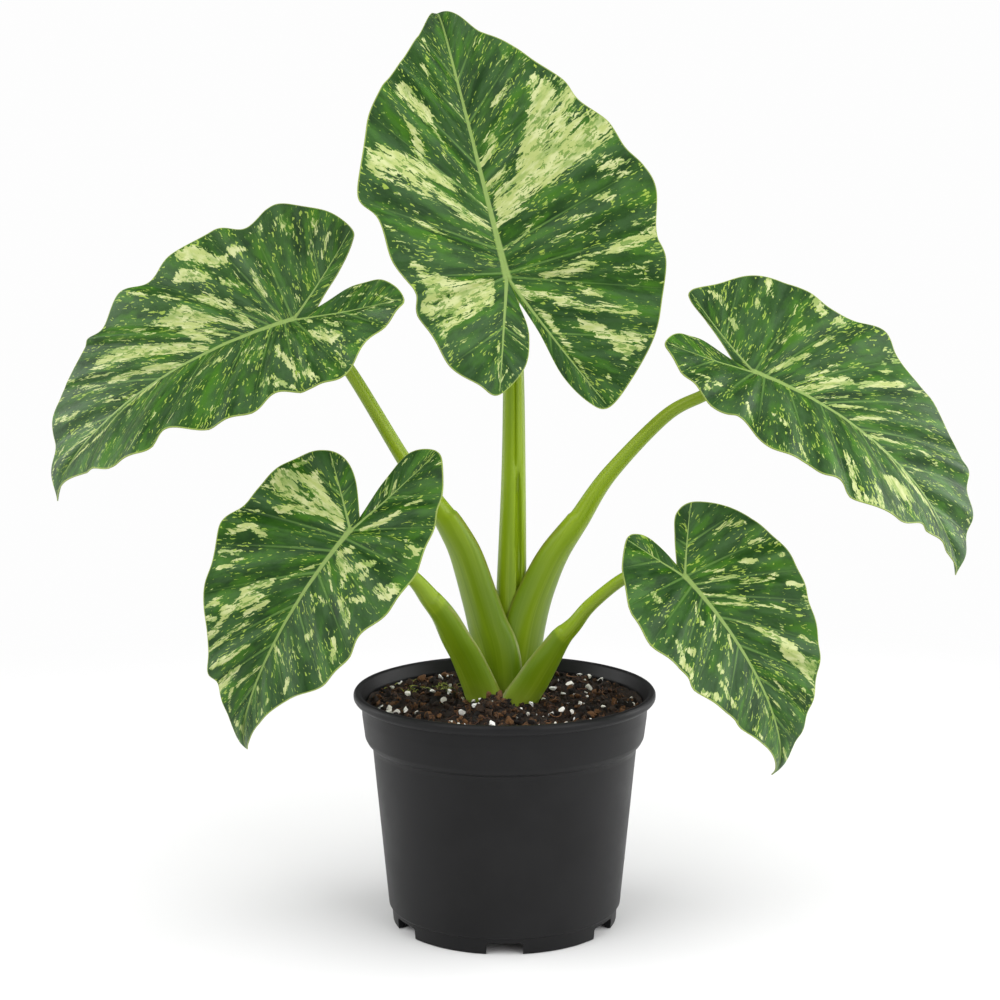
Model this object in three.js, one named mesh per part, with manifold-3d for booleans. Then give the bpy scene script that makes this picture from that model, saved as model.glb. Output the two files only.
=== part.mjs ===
// Potted batik alocasia: five variegated leaves on sheathing stalks, in a soil-filled nursery pot.
// Millimetres, +Z up, origin under the middle of the pot on the surface it stands on, front is -Y.
import * as THREE from "three";
import { mergeVertices } from "three/addons/utils/BufferGeometryUtils.js";
import Module from "manifold-3d";

const wasm = await Module();
wasm.setup();

// Driving dimensions of the pot
const POT_RIM_RADIUS = 85;
const POT_HEIGHT = 133;
const POT_WALL = 1.8;
const POT_FLOOR = 6;
const PAD_RADIUS = 22;
const FOOT_RADIUS = 63.6;
const NOTCH = { count: 6, width: 20, height: 6.5, corner: 2.2, innerRadius: 52 };
const ROUND_SIDES = 48;

// Driving dimensions of the soil and the short stem in it
const GAP = 0.3;
const SOIL_EDGE_Z = 124;
const SOIL_MOUND = 2;
const HEAP = { x: -7, y: -25, radius: 10, height: 4.5 };
const STALK_FOOT_Z = 107;
const CORM = { x: 0, y: 4, top: STALK_FOOT_Z - GAP, bottom: 72, radius: 21 };

// Driving dimensions of the leaves
const BLADE_HALF_THICKNESS = 0.5;
const RIB = { halfWidth: 2.6, front: 0.5, back: 1.5, costa: 0.6 };
const COLUMNS_AFTER_VEIN = [3, 3, 3, 3, 3, 4, 4, 4, 4, 3, 2];
const ROWS = [0.28, 0.55, 0.8, 1];
const COSTA_REACH = 0.85;
const MIDRIB_REACH = 0.94;

const degrees = THREE.MathUtils.degToRad;

// Colour, roughness and metalness of each finish
const FINISHES = {
  pot: { color: 0x2b2c2e, roughness: 0.55, metalness: 0 },
  soil: { color: 0x3a2618, roughness: 0.95, metalness: 0 },
  corm: { color: 0x8a6a42, roughness: 0.8, metalness: 0 },
  stalk: { color: 0x8fae3c, roughness: 0.42, metalness: 0 },
  blade: { color: 0x2f6a2b, roughness: 0.4, metalness: 0 },
};

// A smooth curve through a list of points, read at a place: 3.5 is halfway from point 3 to point 4.
function along(points, place) {
  const last = points.length - 1;
  const i = Math.min(Math.max(Math.floor(place), 0), last - 1);
  const f = place - i;
  const [a, b, c, d] = [i - 1, i, i + 1, i + 2].map((k) => points[Math.min(Math.max(k, 0), last)]);
  return b.map((_, k) => {
    const slopeIn = (c[k] - a[k]) / 2;
    const slopeOut = (d[k] - b[k]) / 2;
    const f2 = f * f;
    const f3 = f2 * f;
    return (
      (2 * f3 - 3 * f2 + 1) * b[k] + (f3 - 2 * f2 + f) * slopeIn + (3 * f2 - 2 * f3) * c[k] + (f3 - f2) * slopeOut
    );
  });
}

// A repeatable number from 0 to 1 for each whole number
function chance(n) {
  const s = Math.sin(n * 12.9898 + 4.137) * 43758.5453;
  return s - Math.floor(s);
}

// A closed geometry from a flat list of triangle corners; corners at one place become one vertex
function closed(corners) {
  const geometry = new THREE.BufferGeometry();
  geometry.setAttribute("position", new THREE.Float32BufferAttribute(corners, 3));
  const merged = mergeVertices(geometry, 1e-3);
  const kept = [];
  const index = merged.index.array;
  for (let i = 0; i < index.length; i += 3) {
    const [a, b, c] = [index[i], index[i + 1], index[i + 2]];
    if (a !== b && b !== c && c !== a) kept.push(a, b, c);
  }
  merged.setIndex(kept);
  return merged;
}

// Joining and cutting
function toSolid(geometry) {
  const bare = geometry.clone();
  bare.deleteAttribute("normal");
  bare.deleteAttribute("uv");
  const merged = mergeVertices(bare, 1e-3);
  return new wasm.Manifold(
    new wasm.Mesh({
      numProp: 3,
      vertProperties: new Float32Array(merged.attributes.position.array),
      triVerts: new Uint32Array(merged.index.array),
    }),
  );
}

// The largest body of a solid: loose scraps that a cut leaves are dropped
function largest(solid) {
  return solid.decompose().reduce((best, s) => (s.volume() > best.volume() ? s : best));
}

function toGeometry(solid) {
  const mesh = solid.getMesh();
  const geometry = new THREE.BufferGeometry();
  geometry.setAttribute("position", new THREE.BufferAttribute(new Float32Array(mesh.vertProperties), 3));
  geometry.setIndex(new THREE.BufferAttribute(new Uint32Array(mesh.triVerts), 1));
  return geometry;
}

// A body of revolution about Z from a closed or axis-to-axis outline of radius and height
function revolve(profile, sides = ROUND_SIDES) {
  const points = profile.map(([r, z]) => new THREE.Vector2(r, z));
  return new THREE.LatheGeometry(points, sides).rotateX(Math.PI / 2);
}

// The pot: a thin moulded wall with a rolled lip, a collar above a rounded step, and a stepped foot.
// Outside of the wall from the foot up to the lip, as radius and height
const POT_OUTSIDE = [
  [FOOT_RADIUS, 0],
  [64.3, 8.6],
  [65.9, 9.8],
  [74.4, 100],
  [75.3, 102.6],
  [77.4, 104.4],
  [78.7, 107],
  [80.2, 119],
  [80.5, 126.8],
  [83.9, 127.4],
  [POT_RIM_RADIUS, 129],
  [POT_RIM_RADIUS, 131.2],
  [84, 132.7],
  [82.6, POT_HEIGHT],
  [81.2, 132.2],
];
// Inside of the wall from the lip down to the floor
const POT_INSIDE = [
  [80.2, 129.5],
  [78.7, 126],
  [80.2 - POT_WALL, 119],
  [78.7 - POT_WALL, 107],
  [75.4 - POT_WALL, 103.4],
  [72.6, 99],
  [64.4, 12],
  [63.2, POT_FLOOR],
];
// The floor is raised over a channel that leads to the drain notches, round a flat middle pad
const CHANNEL = { inner: PAD_RADIUS + 3, outer: FOOT_RADIUS - 3.2, z: POT_FLOOR - 2 };

function potSolid() {
  const underside = [
    [0, 0],
    [PAD_RADIUS, 0],
    [CHANNEL.inner, CHANNEL.z],
    [CHANNEL.outer - 0.8, CHANNEL.z],
    [CHANNEL.outer, 0],
  ];
  const profile = [...underside, ...POT_OUTSIDE, ...POT_INSIDE, [CHANNEL.inner - 1, POT_FLOOR]];
  profile.push([PAD_RADIUS - 1, 2], [0, 2]);
  let pot = toSolid(revolve(profile));
  for (let i = 0; i < NOTCH.count; i += 1) pot = pot.subtract(toSolid(notchCutter((i * 360) / NOTCH.count)));
  return pot;
}

// A drain notch: a low slot through the foot, with rounded upper corners
function notchCutter(azimuth) {
  const { width, height, corner, innerRadius } = NOTCH;
  const slot = new THREE.Shape();
  slot.moveTo(-width / 2, -1);
  slot.lineTo(width / 2, -1);
  slot.lineTo(width / 2, height - corner);
  slot.absarc(width / 2 - corner, height - corner, corner, 0, Math.PI / 2, false);
  slot.absarc(-width / 2 + corner, height - corner, corner, Math.PI / 2, Math.PI, false);
  slot.closePath();
  const depth = POT_RIM_RADIUS - innerRadius;
  const cutter = new THREE.ExtrudeGeometry(slot, { depth, bevelEnabled: false, curveSegments: 3 });
  return cutter.translate(0, 0, innerRadius).rotateX(Math.PI / 2).rotateZ(degrees(azimuth));
}

// The soil: fills the pot to just under the lip, crumbly on top, with a mound round the stalks
function soilHeight(x, y) {
  const r = Math.hypot(x, y - 4);
  const mound = SOIL_MOUND * Math.exp(-((r / 42) ** 2));
  const heap = HEAP.height * Math.exp(-(((x - HEAP.x) ** 2 + (y - HEAP.y) ** 2) / HEAP.radius ** 2));
  const lumps = Math.sin(x * 0.21 + 1.3) * Math.cos(y * 0.19 - 0.4) + 0.7 * Math.sin(x * 0.47 - y * 0.39);
  return SOIL_EDGE_Z + 0.8 + mound + heap + 0.7 * lumps;
}

function soilGeometry() {
  const inside = POT_INSIDE.filter(([, z]) => z < SOIL_EDGE_Z - 2);
  const edgeRadius = 78.4 - GAP;
  const below = [[edgeRadius, SOIL_EDGE_Z], ...inside.map(([r, z]) => [r - GAP, z])];
  below[below.length - 1][1] = POT_FLOOR + GAP;
  below.push([CHANNEL.inner - 1.2, POT_FLOOR + GAP], [PAD_RADIUS - 1.2, 2 + GAP]);
  const tops = [0.96, 0.85, 0.72, 0.58, 0.44, 0.3, 0.15].map((share) => share * edgeRadius);
  const ring = (r, heightAt) =>
    Array.from({ length: ROUND_SIDES }, (_, i) => {
      const turn = (i * 2 * Math.PI) / ROUND_SIDES;
      const [x, y] = [r * Math.sin(turn), -r * Math.cos(turn)];
      return [x, y, heightAt(x, y)];
    });
  const rings = [...below.reverse().map(([r, z]) => ring(r, () => z)), ...tops.map((r) => ring(r, soilHeight))];
  const corners = [];
  for (let k = 0; k + 1 < rings.length; k += 1) quadBand(corners, rings[k], rings[k + 1]);
  const floor = [0, 0, 2 + GAP];
  const peak = [0, 0, soilHeight(0, 0)];
  for (let i = 0; i < ROUND_SIDES; i += 1) {
    const next = (i + 1) % ROUND_SIDES;
    corners.push(...rings[0][next], ...rings[0][i], ...floor);
    corners.push(...rings[rings.length - 1][i], ...rings[rings.length - 1][next], ...peak);
  }
  return closed(corners);
}

// A closed band of triangles between two rings of as many points each, facing out for rings that climb
function quadBand(corners, low, high) {
  for (let i = 0; i < low.length; i += 1) {
    const next = (i + 1) % low.length;
    corners.push(...low[i], ...low[next], ...high[next], ...low[i], ...high[next], ...high[i]);
  }
}

// The corm: the short, stout, ringed stem under the soil that the stalks grow from
function cormGeometry(swell = 0) {
  const top = CORM.top + swell;
  const bottom = CORM.bottom - swell;
  const radius = CORM.radius + swell;
  const middle = (top + bottom) / 2;
  const profile = [
    [0, bottom],
    [radius * 0.35, bottom + 1],
    [radius * 0.75, bottom + 9],
    [radius * 0.94, middle],
    [radius * 0.9, middle + 1.5],
    [radius, top - 6],
    [radius * 0.97, top],
    [0, top],
  ];
  return revolve(profile, 24).translate(CORM.x, CORM.y, 0);
}

// The leaves. A blade is drawn flat in millimetres: x runs from the joint with the stalk along the midrib
// to the tip, and outlines give x and the distance from the midrib, from the notch round the lobe to the tip.
// sideA is the leaf's left seen from above with the tip away, sideB its right. Each side has ten veins;
// ends gives the place on the outline where each ends: inner branch, costa, outer branch, seven laterals.
// roots gives where the laterals leave the midrib. The blade is then bent and folded about its midrib.
const LEAVES = [
  {
    name: "top",
    joint: [1, -4, 363.8],
    heading: 141,
    pitch: 72,
    roll: -40,
    bend: { even: 0.05, tip: 1.4, span: 185, sideways: -0.3 },
    lobes: { bend: -0.15, span: 80, lean: 0.2 },
    fold: [18, 12],
    droop: [0.001, 0.001],
    wave: 3.4,
    roots: [0, 2, 15, 37, 62, 87, 112],
    sideA: {
      outline: [
        [-12, 0], [-34, 3], [-52, 15], [-65, 37], [-58, 46], [-44, 56], [-15, 60], [2, 57], [20, 65],
        [42, 67], [58, 74], [92, 60], [110, 48], [123, 34], [142, 18], [160, 8], [182, 0],
      ],
      ends: [1.3, 3, 5, 6.1, 7.4, 9.8, 11.3, 12.6, 13.4, 14.2],
    },
    sideB: {
      outline: [
        [-12, 0], [-34, 3], [-60, 4], [-78, 10], [-84, 19], [-72, 38], [-53, 59], [-36, 71], [-13, 84], [6, 86],
        [27, 91], [42, 88], [53, 80], [70, 75], [84, 62], [98, 57], [111, 44], [122, 37], [138, 21], [158, 10], [182, 0],
      ],
      ends: [1.6, 4, 6, 7.4, 9, 11, 13, 15, 17, 18.2],
    },
    stalk: {
      out: 180,
      points: [
        [1, 14, 107, 8, 8, 0], [3, 11.5, 150, 9.4, 8.2, 0], [4, 10, 195, 8.3, 7.6, 0], [5, 9, 254, 6.8, 6.6, 0],
        [5, 9.5, 306, 5.9, 5.9, 0], [4, 7, 337, 5.2, 5.2, 0], [2.4, 1.5, 355, 5, 5, 0], [1, -4, 363.8, 5, 5, 0],
      ],
    },
  },
  {
    name: "upper_right",
    joint: [136.8, -5, 311.4],
    heading: -6.5,
    pitch: -20,
    roll: 37,
    bend: { even: 0.96, tip: 0.06, span: 170, sideways: 0.1 },
    lobes: { bend: -0.35, span: 70, lean: -0.25 },
    fold: [16, 16],
    droop: [0.001, 0.002],
    wave: 2.8,
    roots: [0, 6, 20, 40, 66, 98, 134],
    sideA: {
      outline: [
        [-13, 0], [-34, 11], [-48, 15], [-50, 22], [-38, 36], [-24, 54], [-8, 61], [12, 66], [25, 59], [40, 62],
        [57, 65], [72, 57], [88, 51], [105, 51], [118, 42], [136, 43], [150, 37], [170, 25], [183, 13], [190, 0],
      ],
      ends: [1, 2.8, 4.8, 7, 9, 11, 13, 15, 16.2, 17.4],
    },
    sideB: {
      outline: [
        [-13, 0], [-34, 3], [-44, 10], [-52, 24], [-53, 37], [-40, 46], [-27, 52], [-8, 56], [4, 54], [21, 68],
        [38, 63], [48, 65], [58, 61], [69, 66], [97, 53], [118, 35], [138, 25], [160, 14], [178, 7], [190, 0],
      ],
      ends: [1.6, 3.7, 5, 6.5, 8.4, 10.2, 12.8, 14.4, 15.4, 16.8],
    },
    stalk: {
      out: 142,
      points: [
        [4, 10, 107, 14, 9, 0.8], [8, 9.5, 150, 14.5, 9, 0.8], [13, 9.5, 175, 13.5, 8.5, 0.7],
        [20, 9, 194, 11.5, 8, 0.6], [28, 8.5, 210, 9.6, 7.5, 0.45], [41, 8, 227.5, 6.2, 6.2, 0.15],
        [58.5, 6, 254, 4.4, 4.4, 0], [88.5, 2, 286.4, 3.6, 3.6, 0], [108.7, 0, 298, 3.3, 3.3, 0],
        [123, -1, 304, 3.3, 3.3, 0], [136.8, -5, 311.4, 3.3, 3.3, 0],
      ],
    },
  },
  {
    name: "upper_left",
    joint: [-114.9, -10, 340.5],
    heading: 180,
    pitch: -16,
    roll: -41,
    bend: { even: 0.82, tip: 0.15, span: 185, sideways: -0.19 },
    lobes: { bend: -0.35, span: 70, lean: 0.3 },
    fold: [16, 16],
    droop: [0.002, 0.001],
    wave: 3,
    roots: [0, 5, 12, 26, 50, 82, 122],
    sideA: {
      outline: [
        [-14, 0], [-32, 2], [-44, 7], [-56, 21], [-67, 45], [-67, 60], [-50, 63], [-27, 77], [-10, 74],
        [8, 67], [26, 73], [50, 71], [75, 56], [91, 61], [116, 51], [139, 34], [170, 16], [204, 0],
      ],
      ends: [2, 4.5, 5.8, 7, 8.6, 10, 11, 12.6, 14, 15],
    },
    sideB: {
      outline: [
        [-14, 0], [-30, 12], [-43, 23], [-45, 32], [-36, 49], [-18, 68], [0, 75], [16, 68], [32, 75], [56, 70],
        [74, 63], [92, 66], [112, 54], [126, 53], [140, 42], [155, 41], [172, 28], [188, 13], [204, 0],
      ],
      ends: [1, 3, 4.8, 6.7, 8.2, 10, 11.8, 13, 15, 16.4],
    },
    stalk: {
      out: -140,
      points: [
        [-2, 8, 107, 16, 9, 0.8], [-4, 6, 150, 17, 9, 0.8], [-9.5, 6, 171, 14, 8.5, 0.7],
        [-14.5, 5.5, 188, 12.5, 8, 0.6], [-21.5, 4.5, 210, 11, 7.6, 0.5], [-29, 3.5, 224, 9, 7, 0.35],
        [-40, 2.5, 240, 5.7, 5.7, 0.05], [-55.5, 1.5, 262, 4.1, 4.1, 0], [-86, -1, 313.3, 3.5, 3.5, 0],
        [-103, -4.5, 331.5, 3.4, 3.4, 0], [-114.9, -10, 340.5, 3.4, 3.4, 0],
      ],
    },
  },
  {
    name: "lower_left",
    joint: [-81.8, -55, 231.8],
    heading: -150,
    pitch: -44,
    roll: -38,
    bend: { even: 1.04, tip: 0.27, span: 145, sideways: -0.17 },
    lobes: { bend: -0.25, span: 60, lean: 0.12 },
    fold: [14, 14],
    droop: [0.0015, 0.001],
    wave: 2.4,
    roots: [0, 5, 14, 28, 48, 72, 98],
    sideA: {
      outline: [
        [-9, 0], [-30, 1], [-50, 5], [-60, 17], [-60, 27], [-47, 37], [-26, 45], [-4, 50], [20, 53], [40, 47],
        [57, 47], [75, 40], [93, 24], [121, 10], [140, 5], [156, 0],
      ],
      ends: [1.6, 3.6, 5.2, 6, 7.2, 8.4, 9.7, 10.9, 12, 13],
    },
    sideB: {
      outline: [
        [-9, 0], [-24, 13], [-30, 24], [-28, 35], [-18, 45], [1, 54], [19, 54], [36, 59], [56, 51], [70, 48],
        [83, 38], [105, 28], [116, 17], [143, 5], [156, 0],
      ],
      ends: [1, 2.9, 4.2, 5.3, 6.3, 7.5, 9, 10.6, 11.6, 12.6],
    },
    stalk: {
      out: -142,
      points: [
        [-9, -1, 107, 12.5, 8.5, 0.7], [-10.7, -3, 127.7, 12.5, 8.5, 0.7], [-19.5, -8, 151.5, 11, 8, 0.65],
        [-26.5, -13.5, 165.7, 10, 7.5, 0.55], [-33, -20, 179.4, 8, 6.8, 0.35], [-40.8, -26, 190, 5.8, 5.6, 0.1],
        [-48.7, -32, 201, 4.2, 4.2, 0], [-62, -41, 215, 3.6, 3.6, 0], [-73, -48, 225.5, 3.3, 3.3, 0],
        [-81.8, -55, 231.8, 3.3, 3.3, 0],
      ],
    },
  },
  {
    name: "lower_right",
    joint: [96.3, -50, 206],
    heading: -27,
    pitch: -42,
    roll: 38,
    bend: { even: 1.08, tip: 0.23, span: 130, sideways: 0.05 },
    lobes: { bend: -0.25, span: 50, lean: -0.2 },
    fold: [14, 14],
    droop: [0.001, 0.0015],
    wave: 2,
    roots: [0, 6, 14, 28, 46, 66, 92],
    sideA: {
      outline: [
        [-8, 0], [-20, 7], [-30, 15], [-28, 28], [-9, 46], [15, 53], [34, 52], [47, 48], [60, 44], [74, 39],
        [97, 25], [121, 10], [148, 0],
      ],
      ends: [1, 2.8, 4, 4.9, 6, 7.2, 8.8, 9.6, 10.3, 11],
    },
    sideB: {
      outline: [
        [-8, 0], [-26, 6], [-34, 14], [-35, 22], [-24, 34], [-5, 43], [17, 48], [35, 42], [48, 42], [68, 31],
        [82, 26], [112, 9], [148, 0],
      ],
      ends: [1, 3, 4, 5, 6, 7, 8, 9, 10, 10.8],
    },
    stalk: {
      out: 143,
      points: [
        [7, -5, 107, 12.5, 8.5, 0.7], [7, -6.5, 125.6, 12.8, 8.5, 0.7], [15.6, -10, 141.5, 11.5, 8, 0.65],
        [22.5, -13.5, 153.6, 9.8, 7.3, 0.55], [30.6, -18, 166, 6.6, 6, 0.25], [38.2, -22, 174.2, 4.4, 4.4, 0],
        [47.5, -27, 186.7, 3.6, 3.6, 0], [65.2, -33, 202.3, 3.3, 3.3, 0], [80, -35, 206.5, 3.3, 3.3, 0],
        [90.5, -41, 206, 3.3, 3.3, 0], [96.3, -50, 206, 3.3, 3.3, 0],
      ],
    },
  },
];

// The blade's own axes in the part's frame: along the midrib, to sideA, and up out of the upper face
function leafAxes({ heading, pitch, roll }) {
  const [h, p, r] = [degrees(heading), degrees(pitch), degrees(roll)];
  const ahead = new THREE.Vector3(Math.cos(p) * Math.cos(h), Math.cos(p) * Math.sin(h), Math.sin(p));
  const level = new THREE.Vector3(-Math.sin(p) * Math.cos(h), -Math.sin(p) * Math.sin(h), Math.cos(p));
  const across = new THREE.Vector3().crossVectors(ahead, level);
  const face = level.multiplyScalar(Math.cos(r)).addScaledVector(across, Math.sin(r));
  return { ahead, aside: new THREE.Vector3().crossVectors(face, ahead), face };
}

// How far the midrib has bent down at x, in radians
function midribBend({ bend, lobes }, x) {
  if (x < 0) return (lobes.bend * -x) / lobes.span;
  const t = x / bend.span;
  return -(bend.even * t + bend.tip * t ** 4);
}

// The bent midrib at x, as distances along the three axes of the flat blade
function midribAt(leaf, x) {
  const steps = 24;
  const place = [0, 0, 0];
  for (let i = 0; i < steps; i += 1) {
    const at = (x * (i + 0.5)) / steps;
    const down = midribBend(leaf, at);
    const turn = leaf.bend.sideways * Math.max(at / leaf.bend.span, 0) ** 4;
    place[0] += (Math.cos(down) * Math.cos(turn) * x) / steps;
    place[1] += (Math.cos(down) * Math.sin(turn) * x) / steps;
    place[2] += (Math.sin(down) * x) / steps;
  }
  place[1] += leaf.lobes.lean * Math.min(x, 0);
  return place;
}

// The point and the upward normal of the bent, folded blade for a flat point; side is 1 or -1
function bladePoint(leaf, axes, x, distance, side) {
  const [along0, along1, along2] = midribAt(leaf, x);
  const down = midribBend(leaf, x);
  const up = axes.face.clone().multiplyScalar(Math.cos(down)).addScaledVector(axes.ahead, -Math.sin(down));
  const sideIndex = side > 0 ? 0 : 1;
  const fold = degrees(leaf.fold[sideIndex]);
  const curl = leaf.droop[sideIndex];
  const slope = fold - curl * distance;
  const point = new THREE.Vector3(...leaf.joint)
    .addScaledVector(axes.ahead, along0)
    .addScaledVector(axes.aside, along1 + (side * (Math.sin(fold) - Math.sin(slope))) / curl)
    .addScaledVector(axes.face, along2)
    .addScaledVector(up, (Math.cos(slope) - Math.cos(fold)) / curl);
  const normal = up.clone();
  if (distance > 0.01) {
    normal.multiplyScalar(Math.cos(slope)).addScaledVector(axes.aside, -side * Math.sin(slope));
  }
  return { point, normal };
}

// Flat point of the line that veins spring from: the costa back into the lobe below 0, the midrib above
function spine(tipOfLobe, at) {
  if (at >= 0) return [at, 0];
  const reach = Math.hypot(...tipOfLobe);
  return tipOfLobe.map((v) => (v * -at) / reach);
}

// The columns of one half blade, from the notch round to the tip. Each runs from the spine to the outline,
// and its number counts veins: whole numbers are veins, between them the blade is quilted and waved.
function bladeColumns(leaf, half) {
  const last = half.outline.length - 1;
  const tipOfLobe = along(half.outline, half.ends[1]);
  const costa = -COSTA_REACH * Math.hypot(...tipOfLobe);
  const roots = [0, costa / 2, costa, costa / 2, ...leaf.roots, MIDRIB_REACH * half.outline[last][0]];
  const ends = [0, ...half.ends, last];
  const columns = [];
  for (let vein = 0; vein + 1 < roots.length; vein += 1) {
    for (let i = 0; i < COLUMNS_AFTER_VEIN[vein]; i += 1) {
      const f = i / COLUMNS_AFTER_VEIN[vein];
      const root = roots[vein] + f * (roots[vein + 1] - roots[vein]);
      const margin = along(half.outline, ends[vein] + f * (ends[vein + 1] - ends[vein]));
      columns.push({ root: spine(tipOfLobe, root), onMidrib: root >= 0, margin, number: vein + f });
    }
  }
  const number = roots.length - 1;
  columns.push({ root: [roots[number], 0], onMidrib: true, margin: half.outline[last], number });
  return columns;
}

// How far the blade rises between its veins, and sinks at them, at a share of the way from spine to margin
function quilting(leaf, number, share, length) {
  const interval = Math.floor(number);
  const between = Math.sin(Math.PI * (number - interval)) ** 2;
  const strength = 0.65 + 0.7 * chance(interval + leaf.wave * 10);
  return leaf.wave * strength * (between - 0.4) * share ** 1.3 * Math.min(length / 55, 1);
}

// One half blade as rows of points on both faces, with the ridge of the midrib and costa in the first row
function halfBlade(leaf, axes, half, side, swell) {
  const midribLength = MIDRIB_REACH * half.outline[half.outline.length - 1][0];
  const costaLength = COSTA_REACH * Math.hypot(...along(half.outline, half.ends[1]));
  return bladeColumns(leaf, half).map(({ root, onMidrib, margin, number }) => {
    const length = Math.hypot(margin[0] - root[0], margin[1] - root[1]);
    const reach = Math.hypot(...root);
    const taper = onMidrib ? 1 - reach / midribLength : RIB.costa * (1 - reach / costaLength);
    const shares = [0, Math.min(RIB.halfWidth / length, 0.2), ...ROWS];
    const rows = shares.map((share) => {
      const x = root[0] + share * (margin[0] - root[0]);
      const distance = root[1] + share * (margin[1] - root[1]);
      const { point, normal } = bladePoint(leaf, axes, x, distance, side);
      const raised = quilting(leaf, number, share, length);
      const crest = share === 0 ? taper : 0;
      const front = raised + BLADE_HALF_THICKNESS + swell + crest * RIB.front;
      const back = raised - BLADE_HALF_THICKNESS - swell - crest * RIB.back;
      return {
        front: point.clone().addScaledVector(normal, front).toArray(),
        back: point.clone().addScaledVector(normal, back).toArray(),
      };
    });
    return { rows, leavesCosta: number >= 2 && number < 3 };
  });
}

// A blade: two halves that meet on the midrib, the same triangles on both faces, and a rim between them
function bladeGeometry(leaf, swell = 0) {
  const axes = leafAxes(leaf);
  const corners = [];
  for (const [half, side] of [[leaf.sideA, 1], [leaf.sideB, -1]]) {
    const columns = halfBlade(leaf, axes, half, side, swell);
    const face = (a, b, c) => {
      const [p, q, r] = side > 0 ? [a, c, b] : [a, b, c];
      corners.push(...p.front, ...q.front, ...r.front, ...p.back, ...r.back, ...q.back);
    };
    for (let c = 0; c + 1 < columns.length; c += 1) {
      const [here, next] = [columns[c].rows, columns[c + 1].rows];
      for (let r = 0; r + 1 < here.length; r += 1) {
        const diagonal = columns[c].leavesCosta ? [here[r], next[r + 1]] : [here[r + 1], next[r]];
        face(here[r], here[r + 1], diagonal[1]);
        face(diagonal[0], next[r + 1], next[r]);
      }
      const [a, b] = [here[here.length - 1], next[next.length - 1]];
      const [p, q] = side > 0 ? [a, b] : [b, a];
      corners.push(...p.front, ...q.front, ...q.back, ...p.front, ...q.back, ...p.back);
    }
  }
  return closed(corners);
}

// A stalk: round under the blade and widening to a sheath at its foot, whose two thin edges clasp the
// stalks inside it. A point gives x, y, z, half width, outward depth, and how hollow the sheath is.
const STALK_RINGS = 19;
const STALK_ARC = 6;
const SHEATH_EDGE = 1;

function stalkRing(station, tangent, outward, swell) {
  const [x, y, z, halfWidth, depth, hollow] = station;
  const sideways = new THREE.Vector3().crossVectors(tangent, outward);
  const centre = new THREE.Vector3(x, y, z);
  const outerReach = depth - SHEATH_EDGE / 2;
  const innerReach = -outerReach * (1 - 1.35 * hollow);
  const at = (share, reach, shift) => {
    const turn = (share - 0.5) * Math.PI;
    return centre
      .clone()
      .addScaledVector(sideways, (halfWidth + swell) * Math.sin(turn))
      .addScaledVector(outward, reach * Math.cos(turn) + shift)
      .toArray();
  };
  const shares = Array.from({ length: STALK_ARC + 1 }, (_, i) => i / STALK_ARC);
  const outer = shares.map((s) => at(s, outerReach, SHEATH_EDGE / 2 + swell));
  const inner = shares.map((s) => at(s, innerReach, -SHEATH_EDGE / 2 - swell));
  return { outer, inner, loop: [...outer, ...inner.slice().reverse()] };
}

function stalkGeometry({ out, points }, swell = 0) {
  const rings = [];
  const last = points.length - 1;
  let outward = new THREE.Vector3(Math.sin(degrees(out)), Math.cos(degrees(out)), 0);
  for (let i = 0; i <= STALK_RINGS; i += 1) {
    const place = (i * last) / STALK_RINGS;
    const station = along(points, place);
    if (i === 0) station[2] -= swell;
    const before = new THREE.Vector3(...along(points, Math.max(place - 0.1, 0)).slice(0, 3));
    const after = new THREE.Vector3(...along(points, Math.min(place + 0.1, last)).slice(0, 3));
    const tangent = i === 0 ? new THREE.Vector3(0, 0, 1) : after.sub(before).normalize();
    outward = outward.addScaledVector(tangent, -tangent.dot(outward)).normalize();
    rings.push(stalkRing(station, tangent, outward, swell));
  }
  const corners = [];
  for (let i = 0; i < STALK_RINGS; i += 1) quadBand(corners, rings[i].loop, rings[i + 1].loop);
  for (let k = 0; k < STALK_ARC; k += 1) {
    const [foot, head] = [rings[0], rings[STALK_RINGS]];
    stripCap(corners, foot, k, true);
    stripCap(corners, head, k, false);
  }
  return closed(corners);
}

function stripCap(corners, ring, k, facesDown) {
  const [a, b, c, d] = [ring.outer[k], ring.outer[k + 1], ring.inner[k + 1], ring.inner[k]];
  if (facesDown) corners.push(...a, ...c, ...b, ...a, ...d, ...c);
  else corners.push(...a, ...b, ...c, ...a, ...c, ...d);
}

// The sheaths nest: each stalk is cut clear of the ones that it clasps, and of its own blade
function nestedStalks() {
  const clasped = [];
  return LEAVES.map((leaf) => {
    let solid = toSolid(stalkGeometry(leaf.stalk));
    for (const inner of clasped) solid = solid.subtract(inner);
    solid = largest(solid.subtract(toSolid(bladeGeometry(leaf, GAP))));
    clasped.push(toSolid(stalkGeometry(leaf.stalk, GAP)));
    return { name: `petiole_${leaf.name}`, solid, swollen: clasped[clasped.length - 1] };
  });
}

function addMesh(group, name, geometry, finish) {
  const mesh = new THREE.Mesh(geometry, new THREE.MeshStandardMaterial({ name: finish, ...FINISHES[finish] }));
  mesh.name = name;
  group.add(mesh);
}

const plant = new THREE.Group();
const stalks = nestedStalks();
let soil = toSolid(soilGeometry()).subtract(toSolid(cormGeometry(GAP)));
for (const { swollen } of stalks) soil = soil.subtract(swollen);

addMesh(plant, "pot", toGeometry(potSolid()), "pot");
addMesh(plant, "soil", toGeometry(largest(soil)), "soil");
addMesh(plant, "corm", cormGeometry(), "corm");
for (const { name, solid } of stalks) addMesh(plant, name, toGeometry(solid), "stalk");
for (const leaf of LEAVES) addMesh(plant, `blade_${leaf.name}`, bladeGeometry(leaf), "blade");

export default plant;
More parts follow.
